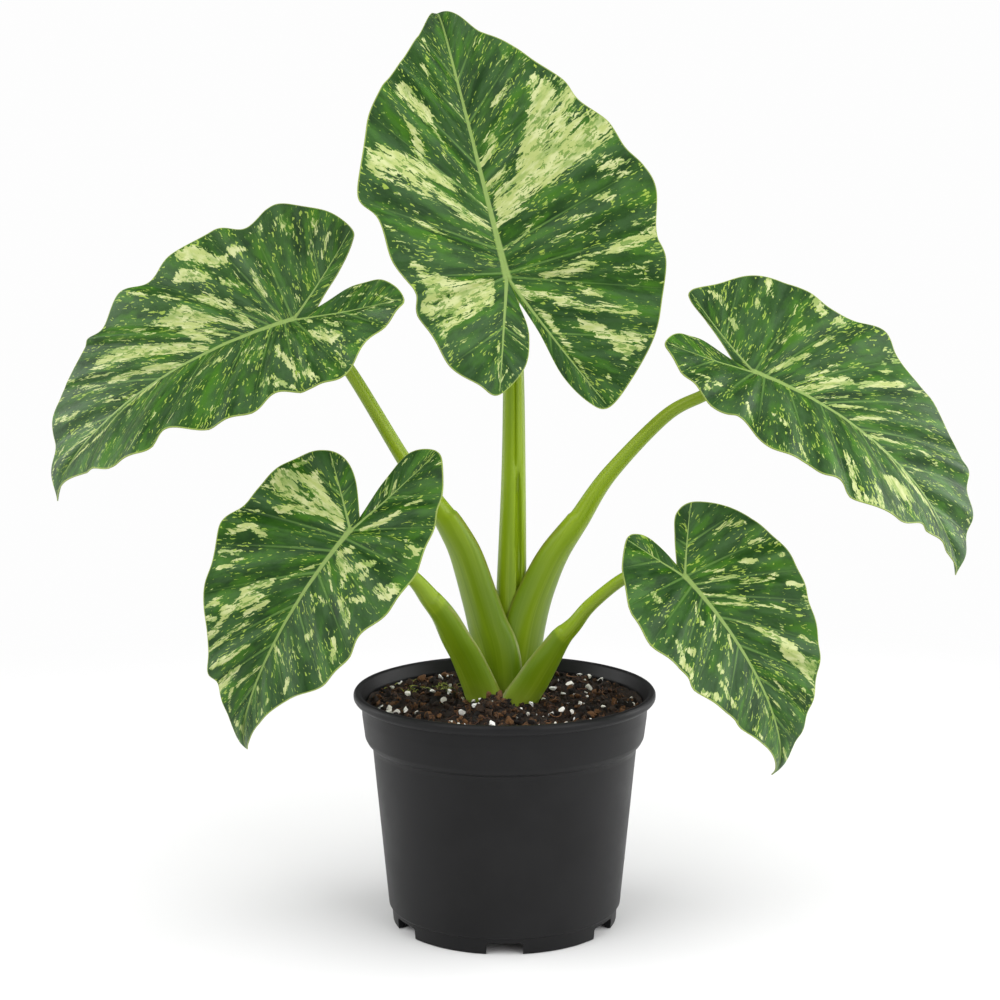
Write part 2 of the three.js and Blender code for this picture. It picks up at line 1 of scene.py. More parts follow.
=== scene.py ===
# %% [markdown]
# A potted batik alocasia
#
# Five big arrow-shaped leaves with cream and green marbling stand on clasping stalks in a nursery pot.
# The solid parts come from the CAD frame. A scene can show those solids as they are, or lay finer
# pieces over them. The leaves and stalks are soft growing shapes whose edges show every facet, so here
# they are made again from the same leaf plan with many more points, in the same places.

# %% The frame and the tools
import math

import bmesh
import bpy
import numpy as np
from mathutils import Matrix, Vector, kdtree, noise


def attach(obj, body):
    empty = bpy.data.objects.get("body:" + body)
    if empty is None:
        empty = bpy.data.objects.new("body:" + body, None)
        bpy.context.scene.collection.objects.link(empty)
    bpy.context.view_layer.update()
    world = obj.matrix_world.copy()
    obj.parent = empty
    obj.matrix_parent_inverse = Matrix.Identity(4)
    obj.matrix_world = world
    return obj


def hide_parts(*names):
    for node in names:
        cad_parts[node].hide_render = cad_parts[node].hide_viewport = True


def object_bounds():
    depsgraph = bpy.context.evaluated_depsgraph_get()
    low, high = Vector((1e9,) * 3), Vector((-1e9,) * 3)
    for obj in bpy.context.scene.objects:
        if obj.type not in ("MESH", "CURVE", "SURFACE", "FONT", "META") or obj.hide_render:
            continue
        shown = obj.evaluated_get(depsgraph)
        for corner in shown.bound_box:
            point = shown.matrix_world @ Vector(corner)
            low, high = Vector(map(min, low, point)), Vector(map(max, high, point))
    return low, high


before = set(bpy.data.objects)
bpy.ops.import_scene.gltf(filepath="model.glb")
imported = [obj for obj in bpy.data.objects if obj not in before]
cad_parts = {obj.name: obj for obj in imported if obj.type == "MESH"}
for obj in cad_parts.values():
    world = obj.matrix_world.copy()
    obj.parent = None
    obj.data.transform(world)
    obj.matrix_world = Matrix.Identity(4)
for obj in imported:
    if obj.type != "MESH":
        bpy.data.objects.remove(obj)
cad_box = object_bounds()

MM = 0.001
cad_size = [round((high - low) / MM, 1) for low, high in zip(*cad_box)]
print("CAD box in mm:", cad_size)

# %% [markdown]
# Camera
#
# The photograph looks slightly down at the plant from about a metre. A camera can be aimed by eye or
# worked out from known sizes; this one is worked out, so the pot's rim and foot ellipses both fit.

# %% Camera
CAMERA_PLACE = (0.0, -1.160, 0.415)
CAMERA_DOWN = 8.57
CAMERA_LENS = 75.96
AXIS_OFF_CENTRE = 0.0046

camera = bpy.data.objects.new("camera", bpy.data.cameras.new("camera"))
camera.location = CAMERA_PLACE
camera.rotation_euler = (math.radians(90 - CAMERA_DOWN), 0, 0)
camera.data.sensor_width = 36
camera.data.lens = CAMERA_LENS
camera.data.shift_x = -AXIS_OFF_CENTRE
camera.data.clip_start = 0.05
bpy.context.collection.objects.link(camera)
bpy.context.scene.camera = camera
print("camera at", CAMERA_PLACE, "looking down", CAMERA_DOWN, "degrees")

# %% [markdown]
# Node helpers
#
# Materials here are made of nodes. Wiring them by hand repeats the same three steps: make a node, set
# its values, link its inputs. A small class does those steps and lets a formula read like a formula.

# %% A short way to write node trees
class Nodes:
    """Writes nodes into one tree. An input may be a number, a colour, or another node's socket."""

    def __init__(self, tree):
        self.tree = tree

    def make(self, kind, inputs=None, **settings):
        node = self.tree.nodes.new(kind)
        for key, value in settings.items():
            setattr(node, key, value)
        for key, value in (inputs or {}).items():
            if isinstance(value, bpy.types.NodeSocket):
                self.tree.links.new(value, node.inputs[key])
            else:
                node.inputs[key].default_value = value
        return node

    def maths(self, operation, *values):
        inputs = dict(enumerate(values))
        return self.make("ShaderNodeMath", inputs, operation=operation).outputs[0]

    def vector(self, operation, *values):
        inputs = dict(enumerate(values))
        return self.make("ShaderNodeVectorMath", inputs, operation=operation).outputs[0]

    def ramp(self, value, start, end, low=0.0, high=1.0):
        """Goes smoothly from low to high while value goes from start to end."""
        inputs = {"Value": value, "From Min": start, "From Max": end, "To Min": low, "To Max": high}
        return self.make("ShaderNodeMapRange", inputs, interpolation_type="SMOOTHSTEP").outputs[0]

    def mix(self, share, first, second):
        """Blends two colours."""
        node = self.make("ShaderNodeMix", data_type="RGBA")
        for key, value in ((0, share), (6, first), (7, second)):
            if isinstance(value, bpy.types.NodeSocket):
                self.tree.links.new(value, node.inputs[key])
            else:
                node.inputs[key].default_value = value
        return node.outputs[2]

    def noise(self, place, scale=1.0, detail=2.0, roughness=0.5, colour=False):
        inputs = {"Vector": place, "Scale": scale, "Detail": detail, "Roughness": roughness}
        return self.make("ShaderNodeTexNoise", inputs).outputs["Color" if colour else "Fac"]

    def attribute(self, name):
        node = self.make("ShaderNodeAttribute", attribute_name=name)
        return node.outputs["Vector"]

    def parts(self, vector):
        return self.make("ShaderNodeSeparateXYZ", {"Vector": vector}).outputs

    def group(self, tree, inputs):
        node = self.make("ShaderNodeGroup", node_tree=tree)
        for key, value in inputs.items():
            if isinstance(value, bpy.types.NodeSocket):
                self.tree.links.new(value, node.inputs[key])
            else:
                node.inputs[key].default_value = value
        return node.outputs


def paint(red, green, blue):
    """A colour given as the 0 to 255 numbers of a screen, in the linear values that nodes use."""
    linear = [((v / 255 + 0.055) / 1.055) ** 2.4 if v > 10 else v / 255 / 12.92 for v in (red, green, blue)]
    return (*linear, 1.0)


def new_group(name, inputs, outputs):
    """A node group with named sockets, and its Nodes, its inputs and its output node."""
    tree = bpy.data.node_groups.new(name, "ShaderNodeTree")
    for label, kind, default in inputs:
        socket = tree.interface.new_socket(label, in_out="INPUT", socket_type=f"NodeSocket{kind}")
        if default is not None:
            socket.default_value = default
    for label, kind in outputs:
        tree.interface.new_socket(label, in_out="OUTPUT", socket_type=f"NodeSocket{kind}")
    nodes = Nodes(tree)
    return tree, nodes, nodes.make("NodeGroupInput").outputs, nodes.make("NodeGroupOutput")


def new_material(name):
    """A material with a Principled surface, its Nodes and that surface node."""
    material = bpy.data.materials.new(name)
    material.use_nodes = True
    nodes = Nodes(material.node_tree)
    return material, nodes, material.node_tree.nodes["Principled BSDF"]


def wire(nodes, surface, **sockets):
    """Links sockets to the surface's inputs; an underscore in a name stands for a space."""
    for label, value in sockets.items():
        target = surface.inputs[label.replace("_", " ")]
        if isinstance(value, bpy.types.NodeSocket):
            nodes.tree.links.new(value, target)
        else:
            target.default_value = value


print("node helpers ready")

# %% [markdown]
# Mesh helpers
#
# Every piece below is a list of points in millimetres and a list of faces. Blender works in metres, so
# one function turns the lists into an object, sets smooth shading up to a sharp angle, and gives the
# piece its place in the frame: the body it rides on, the CAD solid it stands for, and its finish.

# %% Turning points and faces into pieces
SHARP_ANGLE = math.radians(55)


def new_piece(name, points, faces, material, stands_for=(), sharp=SHARP_ANGLE):
    mesh = bpy.data.meshes.new(name)
    mesh.from_pydata((np.asarray(points) * MM).tolist(), [], [list(map(int, f)) for f in faces])
    mesh.materials.append(material)
    mesh.polygons.foreach_set("use_smooth", [True] * len(mesh.polygons))
    mesh.set_sharp_from_angle(angle=sharp)
    piece = bpy.data.objects.new(name, mesh)
    bpy.context.collection.objects.link(piece)
    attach(piece, "root")
    if stands_for:
        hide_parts(*stands_for)
    return piece


def put_attribute(piece, name, values, domain="POINT"):
    """Stores a number or a triple for each point or each face corner, for materials to read."""
    values = np.asarray(values, dtype=np.float32)
    kind, field = ("FLOAT", "value") if values.ndim == 1 else ("FLOAT_VECTOR", "vector")
    layer = piece.data.attributes.new(name, kind, domain)
    layer.data.foreach_set(field, values.ravel())


def ring_faces(rows, per_row, start=0):
    """Faces between closed rings of points, for rings that climb and run anticlockwise from above."""
    faces = []
    for row in range(rows - 1):
        for i in range(per_row):
            j = (i + 1) % per_row
            low = start + row * per_row
            faces.append((low + i, low + j, low + per_row + j, low + per_row + i))
    return faces


def along(points, places):
    """A smooth curve through a list of points, read at places: 3.5 is halfway from point 3 to 4."""
    points = np.asarray(points, dtype=float)
    places = np.asarray(places, dtype=float)
    last = len(points) - 1
    i = np.clip(np.floor(places).astype(int), 0, last - 1)
    f = (places - i)[..., None]
    a, b, c, d = (points[np.clip(i + k, 0, last)] for k in (-1, 0, 1, 2))
    slope_in = (c - a) / 2
    slope_out = (d - b) / 2
    f2, f3 = f * f, f * f * f
    leaving = (2 * f3 - 3 * f2 + 1) * b + (f3 - 2 * f2 + f) * slope_in
    return leaving + (3 * f2 - 2 * f3) * c + (f3 - f2) * slope_out


def smooth_step(value, start, end):
    """Goes smoothly from 0 to 1 while value goes from start to end."""
    t = np.clip((value - start) / (end - start), 0, 1)
    return t * t * (3 - 2 * t)


print("mesh helpers ready")

# %% [markdown]
# The leaf plan
#
# A leaf is drawn flat first, like a paper pattern, and then bent. On the pattern x runs from the joint
# with the stalk along the midrib to the tip, and each half has an outline from the notch round the lobe
# to the tip. Ten veins cross each half: an inner branch, the costa that runs back into the lobe, an
# outer branch, and seven laterals. Two numbers then place anything on a half: which vein it lies at,
# from 0 at the notch to 11 at the tip, and its share of the way from the midrib to the margin.
#
# The outlines were measured from the edge of each leaf in the photograph, laid flat, and then adjusted.
# Patches are the cream marks. Each gives vein and share at its two ends, half its width counted in
# veins, and how strong it is. Their ends, widths and strengths were picked by eye on the photograph,
# and a scratch script that isn't part of this file turned them into these numbers.

# %% The five leaves
LEAVES = [
    {
        "name": "top",
        "joint": (1, -4, 363.8),
        "heading": 141, "pitch": 72, "roll": -40,
        "bend": {"even": 0.05, "tip": 1.4, "span": 185, "sideways": -0.3},
        "lobes": {"bend": -0.15, "span": 80, "lean": 0.2},
        "fold": (18, 12), "droop": (0.001, 0.001), "wave": 3.4,
        "roots": (0, 2, 15, 37, 62, 87, 112),
        "sideA": {
            "outline": [
                (-12, 0), (-34, 3), (-52, 15), (-65, 37), (-58, 46), (-44, 56), (-15, 60), (2, 57),
                (20, 65), (42, 67), (58, 74), (92, 60), (110, 48), (123, 34), (142, 18), (160, 8),
                (182, 0),
            ],
            "ends": (1.3, 3, 5, 6.1, 7.4, 9.8, 11.3, 12.6, 13.4, 14.2),
            "patches": [
                (0.9, 0.39, 0.9, 0.82, 0.07, 0.6), (1.7, 0.71, 1.5, 0.87, 0.07, 0.7),
                (2.7, 0.13, 1.7, 0.42, 0.08, 0.85), (3.2, 0.49, 3.3, 0.82, 0.05, 0.6),
                (3.5, 0.89, 3.3, 0.9, 0.05, 0.7), (3.6, 0.36, 3.6, 0.86, 0.1, 0.8),
                (3.9, 0.54, 4.1, 0.91, 0.3, 0.9), (4, 0.19, 4.4, 0.86, 0.51, 1),
                (4.2, 0.25, 5, 0.82, 0.26, 0.85), (5.4, 0.83, 5.6, 0.96, 0.06, 0.6),
                (5.8, 0.47, 6, 0.62, 0.08, 0.7), (6.2, 0.06, 6.2, 0.22, 0.06, 0.6),
                (6.5, 0.08, 6.5, 0.56, 0.14, 0.8), (6.6, 0.51, 6.5, 0.93, 0.18, 0.9),
                (6.9, 0.32, 6.6, 0.78, 0.14, 1), (6.8, 0.41, 7, 0.61, 0.07, 0.9),
                (7, 0.05, 7.1, 0.27, 0.06, 0.6), (7.1, 0.59, 7.3, 0.69, 0.12, 0.85),
                (7.5, 0.21, 7.5, 0.41, 0.1, 0.5), (7.7, 0.44, 8, 0.57, 0.09, 0.75),
                (8, 0.57, 8, 0.87, 0.25, 0.9), (9.2, 0.65, 9.2, 0.74, 0.11, 0.6),
                (9.8, 0.73, 10, 0.88, 0.06, 0.8),
            ],
        },
        "sideB": {
            "outline": [
                (-12, 0), (-34, 3), (-60, 4), (-78, 10), (-84, 19), (-72, 38), (-53, 59), (-36, 71),
                (-13, 84), (6, 86), (27, 91), (42, 88), (53, 80), (70, 75), (84, 62), (98, 57),
                (111, 44), (122, 37), (138, 21), (158, 10), (182, 0),
            ],
            "ends": (1.6, 4, 6, 7.4, 9, 11, 13, 15, 17, 18.2),
            "patches": [
                (2.4, 0.62, 2.1, 0.9, 0.07, 0.7), (3.8, 0.04, 1.6, 0.17, 0.1, 0.7),
                (3.2, 0.36, 2.8, 0.79, 0.13, 0.9), (3.1, 0.74, 2.9, 0.92, 0.1, 0.8),
                (3.6, 0.26, 3.5, 0.81, 0.12, 0.75), (3.7, 0.06, 3.7, 0.34, 0.06, 0.85),
                (3.9, 0.46, 3.8, 0.55, 0.1, 0.85), (4.3, 0.7, 4.2, 0.89, 0.1, 0.6),
                (4.2, 0.25, 4.5, 0.52, 0.2, 0.9), (4.8, 0.49, 4.8, 0.6, 0.1, 0.7),
                (4.8, 0.7, 5, 1, 0.15, 0.8), (5.4, 0.33, 5.5, 0.49, 0.06, 0.6),
                (5.7, 0.49, 5.6, 0.57, 0.08, 0.75), (5.9, 0.67, 5.7, 0.72, 0.09, 0.75),
                (5.9, 0.04, 6.1, 0.21, 0.08, 0.8), (6.2, 0.78, 6, 0.93, 0.09, 0.6),
                (6.4, 0.79, 6.3, 0.92, 0.11, 0.8), (6.6, 0.03, 6.6, 0.22, 0.09, 0.8),
                (6.9, 0.74, 7, 0.99, 0.26, 0.8), (7, 0.08, 7, 0.87, 0.33, 1),
                (7.1, 0.62, 7.8, 1, 0.35, 0.9), (7.5, 0.05, 7.5, 0.22, 0.12, 0.9),
                (7.2, 0.36, 8.1, 0.86, 0.4, 1), (8, 0.03, 8.2, 0.22, 0.12, 0.9),
                (8.7, 0.4, 8.7, 0.69, 0.12, 0.75), (8.7, 0.9, 8.7, 0.95, 0.04, 0.6),
            ],
        },
        "stalk": {
            "out": 180,
            "points": [
                (1, 14, 107, 8, 8, 0), (3, 11.5, 150, 9.4, 8.2, 0), (4, 10, 195, 8.3, 7.6, 0),
                (5, 9, 254, 6.8, 6.6, 0), (5, 9.5, 306, 5.9, 5.9, 0), (4, 7, 337, 5.2, 5.2, 0),
                (2.4, 1.5, 355, 5, 5, 0), (1, -4, 363.8, 5, 5, 0),
            ],
        },
    },
    {
        "name": "upper_right",
        "joint": (136.8, -5, 311.4),
        "heading": -6.5, "pitch": -20, "roll": 37,
        "bend": {"even": 0.96, "tip": 0.06, "span": 170, "sideways": 0.1},
        "lobes": {"bend": -0.35, "span": 70, "lean": -0.25},
        "fold": (16, 16), "droop": (0.001, 0.002), "wave": 2.8,
        "roots": (0, 6, 20, 40, 66, 98, 134),
        "sideA": {
            "outline": [
                (-13, 0), (-34, 11), (-48, 15), (-50, 22), (-38, 36), (-24, 54), (-8, 61), (12, 66),
                (25, 59), (40, 62), (57, 65), (72, 57), (88, 51), (105, 51), (118, 42), (136, 43),
                (150, 37), (170, 25), (183, 13), (190, 0),
            ],
            "ends": (1, 2.8, 4.8, 7, 9, 11, 13, 15, 16.2, 17.4),
            "patches": [
                (2.8, 0.47, 2.5, 0.81, 0.09, 0.8), (3.2, 0.23, 3, 0.32, 0.06, 0.8),
                (3.5, 0.59, 3.4, 0.65, 0.04, 0.8), (3.6, 0.8, 3.5, 0.94, 0.06, 0.75),
                (4, 0.68, 4.1, 0.81, 0.04, 0.5), (4.2, 0.38, 4.5, 0.63, 0.14, 0.6),
                (4.5, 0.9, 4.2, 0.98, 0.11, 0.85), (5, 0.9, 4.8, 0.92, 0.08, 0.75),
                (5, 0.1, 5.2, 0.36, 0.12, 0.9), (5.1, 0.55, 5.1, 0.68, 0.07, 0.85),
                (5.9, 0.22, 5.9, 0.34, 0.07, 0.85), (5.8, 0.93, 6, 0.96, 0.07, 0.7),
                (6, 0.23, 6.3, 0.39, 0.08, 0.9), (6.2, 0.74, 6.2, 0.81, 0.06, 0.7),
                (6.3, 0.04, 6.3, 0.41, 0.18, 0.9), (6.5, 0.47, 6.5, 0.8, 0.1, 0.95),
                (6.6, 0.85, 6.7, 0.97, 0.06, 0.8), (6.7, 0.02, 6.8, 0.23, 0.07, 0.8),
                (7.1, 0.1, 7.2, 0.27, 0.05, 0.85), (7.2, 0.47, 7.4, 0.65, 0.07, 0.65),
                (7.6, 0.07, 7.5, 0.34, 0.03, 0.8), (8.2, 0.05, 8.3, 0.29, 0.07, 0.85),
                (8.3, 0.4, 8.7, 0.51, 0.04, 0.6), (9.1, 0.08, 9, 0.28, 0.03, 0.6),
                (9.7, 0.38, 9.7, 0.6, 0.05, 0.7), (10.2, 0.73, 10.2, 0.93, 0.05, 0.7),
            ],
        },
        "sideB": {
            "outline": [
                (-13, 0), (-34, 3), (-44, 10), (-52, 24), (-53, 37), (-40, 46), (-27, 52), (-8, 56),
                (4, 54), (21, 68), (38, 63), (48, 65), (58, 61), (69, 66), (97, 53), (118, 35),
                (138, 25), (160, 14), (178, 7), (190, 0),
            ],
            "ends": (1.6, 3.7, 5, 6.5, 8.4, 10.2, 12.8, 14.4, 15.4, 16.8),
            "patches": [
                (0.8, 0.9, 1.1, 0.98, 0.07, 0.8), (1.7, 0.24, 2, 0.56, 0.13, 0.6),
                (3.6, 0.73, 3.2, 0.78, 0.08, 0.8), (3.6, 0.8, 3.8, 0.91, 0.05, 0.85),
                (3.8, 0.61, 3.7, 0.7, 0.04, 0.8), (4.6, 0.74, 4.9, 0.89, 0.07, 0.8),
                (5.3, 0.57, 5.6, 0.69, 0.05, 0.6), (5.8, 0.83, 5.9, 0.94, 0.06, 0.75),
                (7.2, 0.54, 7.2, 0.99, 0.05, 0.9), (7.5, 0.94, 7.2, 0.96, 0.08, 0.85),
                (7.5, 0.5, 7.5, 0.65, 0.04, 0.6), (7.5, 0.81, 7.5, 0.89, 0.06, 0.85),
                (8.3, 0.01, 7.8, 0.05, 0.02, 0.6), (8.3, 0.84, 7.9, 0.87, 0.08, 0.6),
                (8.1, 0.55, 8.3, 0.74, 0.28, 1), (8.5, 0.03, 9, 0.21, 0.13, 0.95),
                (9.1, 0.06, 9.8, 0.82, 0.12, 0.95),
            ],
        },
        "stalk": {
            "out": 142,
            "points": [
                (4, 10, 107, 14, 9, 0.8), (8, 9.5, 150, 14.5, 9, 0.8), (13, 9.5, 175, 13.5, 8.5, 0.7),
                (20, 9, 194, 11.5, 8, 0.6), (28, 8.5, 210, 9.6, 7.5, 0.45),
                (41, 8, 227.5, 6.2, 6.2, 0.15), (58.5, 6, 254, 4.4, 4.4, 0),
                (88.5, 2, 286.4, 3.6, 3.6, 0), (108.7, 0, 298, 3.3, 3.3, 0),
                (123, -1, 304, 3.3, 3.3, 0), (136.8, -5, 311.4, 3.3, 3.3, 0),
            ],
        },
    },
    {
        "name": "upper_left",
        "joint": (-114.9, -10, 340.5),
        "heading": 180, "pitch": -16, "roll": -41,
        "bend": {"even": 0.82, "tip": 0.15, "span": 185, "sideways": -0.19},
        "lobes": {"bend": -0.35, "span": 70, "lean": 0.3},
        "fold": (16, 16), "droop": (0.002, 0.001), "wave": 3,
        "roots": (0, 5, 12, 26, 50, 82, 122),
        "sideA": {
            "outline": [
                (-14, 0), (-32, 2), (-44, 7), (-56, 21), (-67, 45), (-67, 60), (-50, 63), (-27, 77),
                (-10, 74), (8, 67), (26, 73), (50, 71), (75, 56), (91, 61), (116, 51), (139, 34),
                (170, 16), (204, 0),
            ],
            "ends": (2, 4.5, 5.8, 7, 8.6, 10, 11, 12.6, 14, 15),
            "patches": [
                (1, 0.9, 0.7, 0.91, 0.06, 0.7), (2.2, 0.26, 2.1, 0.41, 0.14, 0.7),
                (3.8, 0.07, 0.6, 0.64, 0.05, 0.6), (3.5, 0.09, 3.5, 0.46, 0.1, 0.7),
                (3.9, 0.28, 3.7, 0.58, 0.15, 0.9), (3.8, 0.73, 3.9, 0.9, 0.07, 0.75),
                (4.7, 0.81, 4.6, 0.94, 0.09, 0.85), (5, 0.57, 5, 0.82, 0.1, 0.85),
                (5.4, 0.42, 5.1, 0.64, 0.15, 0.8), (5.8, 0.74, 5.2, 0.94, 0.14, 0.8),
                (6.2, 0.24, 6.8, 0.25, 0.08, 0.6), (7, 0.8, 6.9, 0.86, 0.07, 0.7),
                (7.2, 0.16, 7.6, 0.39, 0.06, 0.8), (7.6, 0.54, 7.7, 0.59, 0.06, 0.6),
                (8.4, 0.7, 8.5, 0.85, 0.06, 0.6), (9.3, 0.2, 9.2, 0.54, 0.06, 0.6),
                (9.1, 0.03, 10.8, 0.49, 0.05, 0.9),
            ],
        },
        "sideB": {
            "outline": [
                (-14, 0), (-30, 12), (-43, 23), (-45, 32), (-36, 49), (-18, 68), (0, 75), (16, 68),
                (32, 75), (56, 70), (74, 63), (92, 66), (112, 54), (126, 53), (140, 42), (155, 41),
                (172, 28), (188, 13), (204, 0),
            ],
            "ends": (1, 3, 4.8, 6.7, 8.2, 10, 11.8, 13, 15, 16.4),
            "patches": [
                (2.8, 0.24, 2.6, 0.58, 0.09, 0.75), (2.9, 0.59, 2.9, 0.78, 0.05, 0.7),
                (3.4, 0.65, 3.5, 0.84, 0.14, 0.7), (3.9, 0.9, 4.2, 0.91, 0.07, 0.5),
                (5.1, 0.72, 4.5, 0.77, 0.14, 0.9), (4.9, 0.29, 4.7, 0.49, 0.14, 0.85),
                (5.2, 0.72, 5.3, 0.94, 0.14, 1), (5.2, 0.43, 5.4, 0.51, 0.06, 0.8),
                (5.2, 0.03, 5.7, 0.23, 0.12, 0.7), (5.5, 0.65, 5.7, 0.81, 0.16, 1),
                (6, 0.36, 6, 0.57, 0.2, 0.9), (6.4, 0.09, 5.8, 0.38, 0.13, 0.85),
                (6.4, 0.63, 6.4, 0.72, 0.13, 0.85), (6.4, 0.67, 6.5, 0.87, 0.08, 0.8),
                (6.6, 0.1, 6.7, 0.34, 0.13, 0.85), (6.9, 0.34, 6.8, 0.52, 0.27, 1),
                (6.9, 0.31, 7, 0.62, 0.11, 0.8), (7.2, 0.11, 7.1, 0.23, 0.13, 0.85),
                (7.5, 0.53, 7.2, 0.69, 0.11, 0.75), (7.6, 0.12, 7.2, 0.34, 0.16, 0.9),
                (7.8, 0.63, 7.7, 0.69, 0.11, 0.6), (7.9, 0.08, 8.3, 0.74, 0.21, 1),
                (8.1, 0.52, 8.2, 0.72, 0.14, 0.95), (8.7, 0.56, 8.6, 1, 0.05, 0.6),
                (8.5, 0.05, 8.9, 0.46, 0.14, 1), (9.1, 0.49, 8.8, 0.99, 0.08, 0.6),
                (9.5, 0.05, 9.5, 0.25, 0.05, 0.8), (9.6, 0.61, 9.6, 0.92, 0.08, 0.8),
                (10.1, 0.23, 9.9, 0.41, 0.06, 0.75), (10.2, 0.09, 10.4, 0.47, 0.04, 0.8),
                (10.2, 0.72, 10.7, 1, 0.08, 0.75),
            ],
        },
        "stalk": {
            "out": -140,
            "points": [
                (-2, 8, 107, 16, 9, 0.8), (-4, 6, 150, 17, 9, 0.8), (-9.5, 6, 171, 14, 8.5, 0.7),
                (-14.5, 5.5, 188, 12.5, 8, 0.6), (-21.5, 4.5, 210, 11, 7.6, 0.5),
                (-29, 3.5, 224, 9, 7, 0.35), (-40, 2.5, 240, 5.7, 5.7, 0.05),
                (-55.5, 1.5, 262, 4.1, 4.1, 0), (-86, -1, 313.3, 3.5, 3.5, 0),
                (-103, -4.5, 331.5, 3.4, 3.4, 0), (-114.9, -10, 340.5, 3.4, 3.4, 0),
            ],
        },
    },
    {
        "name": "lower_left",
        "joint": (-81.8, -55, 231.8),
        "heading": -150, "pitch": -44, "roll": -38,
        "bend": {"even": 1.04, "tip": 0.27, "span": 145, "sideways": -0.17},
        "lobes": {"bend": -0.25, "span": 60, "lean": 0.12},
        "fold": (14, 14), "droop": (0.0015, 0.001), "wave": 2.4,
        "roots": (0, 5, 14, 28, 48, 72, 98),
        "sideA": {
            "outline": [
                (-9, 0), (-30, 1), (-50, 5), (-60, 17), (-60, 27), (-47, 37), (-26, 45), (-4, 50),
                (20, 53), (40, 47), (57, 47), (75, 40), (93, 24), (121, 10), (140, 5), (156, 0),
            ],
            "ends": (1.6, 3.6, 5.2, 6, 7.2, 8.4, 9.7, 10.9, 12, 13),
            "patches": [
                (0.5, 0, 0.9, 0.27, 0.04, 0.6), (1.1, 0.02, 1.1, 0.38, 0.05, 0.7),
                (1.2, 0.78, 1.3, 0.81, 0.03, 0.7), (3.3, 0.51, 3.2, 0.65, 0.1, 0.75),
                (4, 0.15, 3.6, 0.46, 0.11, 0.85), (4.4, 0.76, 4.6, 0.92, 0.1, 0.9),
                (5.7, 0.73, 5.4, 0.93, 0.11, 0.85), (5.8, 0.1, 5.4, 0.17, 0.19, 0.9),
                (5.9, 0.31, 5.3, 0.51, 0.16, 0.95), (5.7, 0.82, 5.6, 0.91, 0.09, 0.9),
                (5.8, 0.5, 5.6, 0.53, 0.12, 0.9), (6, 0.13, 6, 0.29, 0.23, 0.95),
                (6.1, 0.23, 6.3, 0.41, 0.1, 0.9), (6.3, 0.63, 6.1, 0.68, 0.05, 0.8),
                (6.4, 0.06, 6.7, 0.33, 0.05, 0.8), (6.6, 0.56, 6.6, 0.77, 0.15, 0.95),
                (7.2, 0.26, 7.1, 0.37, 0.06, 0.7), (7.2, 0.74, 7.4, 0.89, 0.09, 0.85),
                (7.4, 0.15, 7.4, 0.31, 0.06, 0.7), (8, 0.42, 7.7, 0.47, 0.07, 0.8),
                (9, 0.04, 8.8, 0.48, 0.05, 0.8), (8.8, 0.73, 9, 0.85, 0.1, 0.85),
                (9.4, 0.77, 9.9, 0.9, 0.06, 0.7), (9.9, 0.18, 9.8, 0.36, 0.03, 0.8),
            ],
        },
        "sideB": {
            "outline": [
                (-9, 0), (-24, 13), (-30, 24), (-28, 35), (-18, 45), (1, 54), (19, 54), (36, 59),
                (56, 51), (70, 48), (83, 38), (105, 28), (116, 17), (143, 5), (156, 0),
            ],
            "ends": (1, 2.9, 4.2, 5.3, 6.3, 7.5, 9, 10.6, 11.6, 12.6),
            "patches": [
                (1.6, 0.9, 1.5, 0.9, 0.06, 0.6), (2.3, 0.16, 1.7, 0.44, 0.08, 0.7),
                (2.8, 0.86, 3.2, 0.89, 0.15, 0.9), (3.3, 0.57, 3.6, 0.92, 0.19, 0.9),
                (3.9, 0.1, 3.2, 0.6, 0.38, 1), (3.9, 0.31, 3.8, 0.9, 0.32, 0.85),
                (3.9, 0.82, 4.1, 0.98, 0.18, 0.7), (4.2, 0.42, 4.6, 0.66, 0.21, 0.95),
                (4.4, 0.07, 4.6, 0.26, 0.12, 0.7), (4.9, 0.84, 5.1, 0.97, 0.09, 0.85),
                (5.7, 0.62, 5.5, 0.73, 0.09, 0.75), (5.5, 0.73, 5.8, 0.92, 0.09, 0.8),
                (6.1, 0.8, 6.1, 0.93, 0.02, 0.7), (6.3, 0.76, 6.4, 0.9, 0.06, 0.85),
                (6.6, 0.03, 7.1, 0.28, 0.04, 0.7), (7.1, 0.4, 7.2, 0.62, 0.14, 0.95),
                (7.2, 0.82, 7.3, 0.95, 0.09, 0.8), (7.4, 0.47, 7.5, 0.79, 0.12, 0.95),
                (7.6, 0.9, 7.5, 1, 0.07, 0.85), (7.6, 0.38, 7.7, 0.56, 0.07, 0.85),
                (7.6, 0.77, 7.8, 0.96, 0.07, 0.9), (7.9, 0.56, 7.9, 0.7, 0.05, 0.75),
                (7.9, 0.77, 8, 0.97, 0.06, 0.8), (8.3, 0.2, 8.4, 0.36, 0.05, 0.8),
                (8.5, 0.46, 8.4, 0.93, 0.12, 0.85), (9.1, 0.61, 9.2, 0.97, 0.21, 0.9),
                (9.5, 0.1, 9.5, 0.56, 0.08, 0.85), (9.5, 0.71, 9.8, 0.89, 0.07, 0.85),
                (10.8, 0.06, 10.1, 0.84, 0.09, 0.8),
            ],
        },
        "stalk": {
            "out": -142,
            "points": [
                (-9, -1, 107, 12.5, 8.5, 0.7), (-10.7, -3, 127.7, 12.5, 8.5, 0.7),
                (-19.5, -8, 151.5, 11, 8, 0.65), (-26.5, -13.5, 165.7, 10, 7.5, 0.55),
                (-33, -20, 179.4, 8, 6.8, 0.35), (-40.8, -26, 190, 5.8, 5.6, 0.1),
                (-48.7, -32, 201, 4.2, 4.2, 0), (-62, -41, 215, 3.6, 3.6, 0),
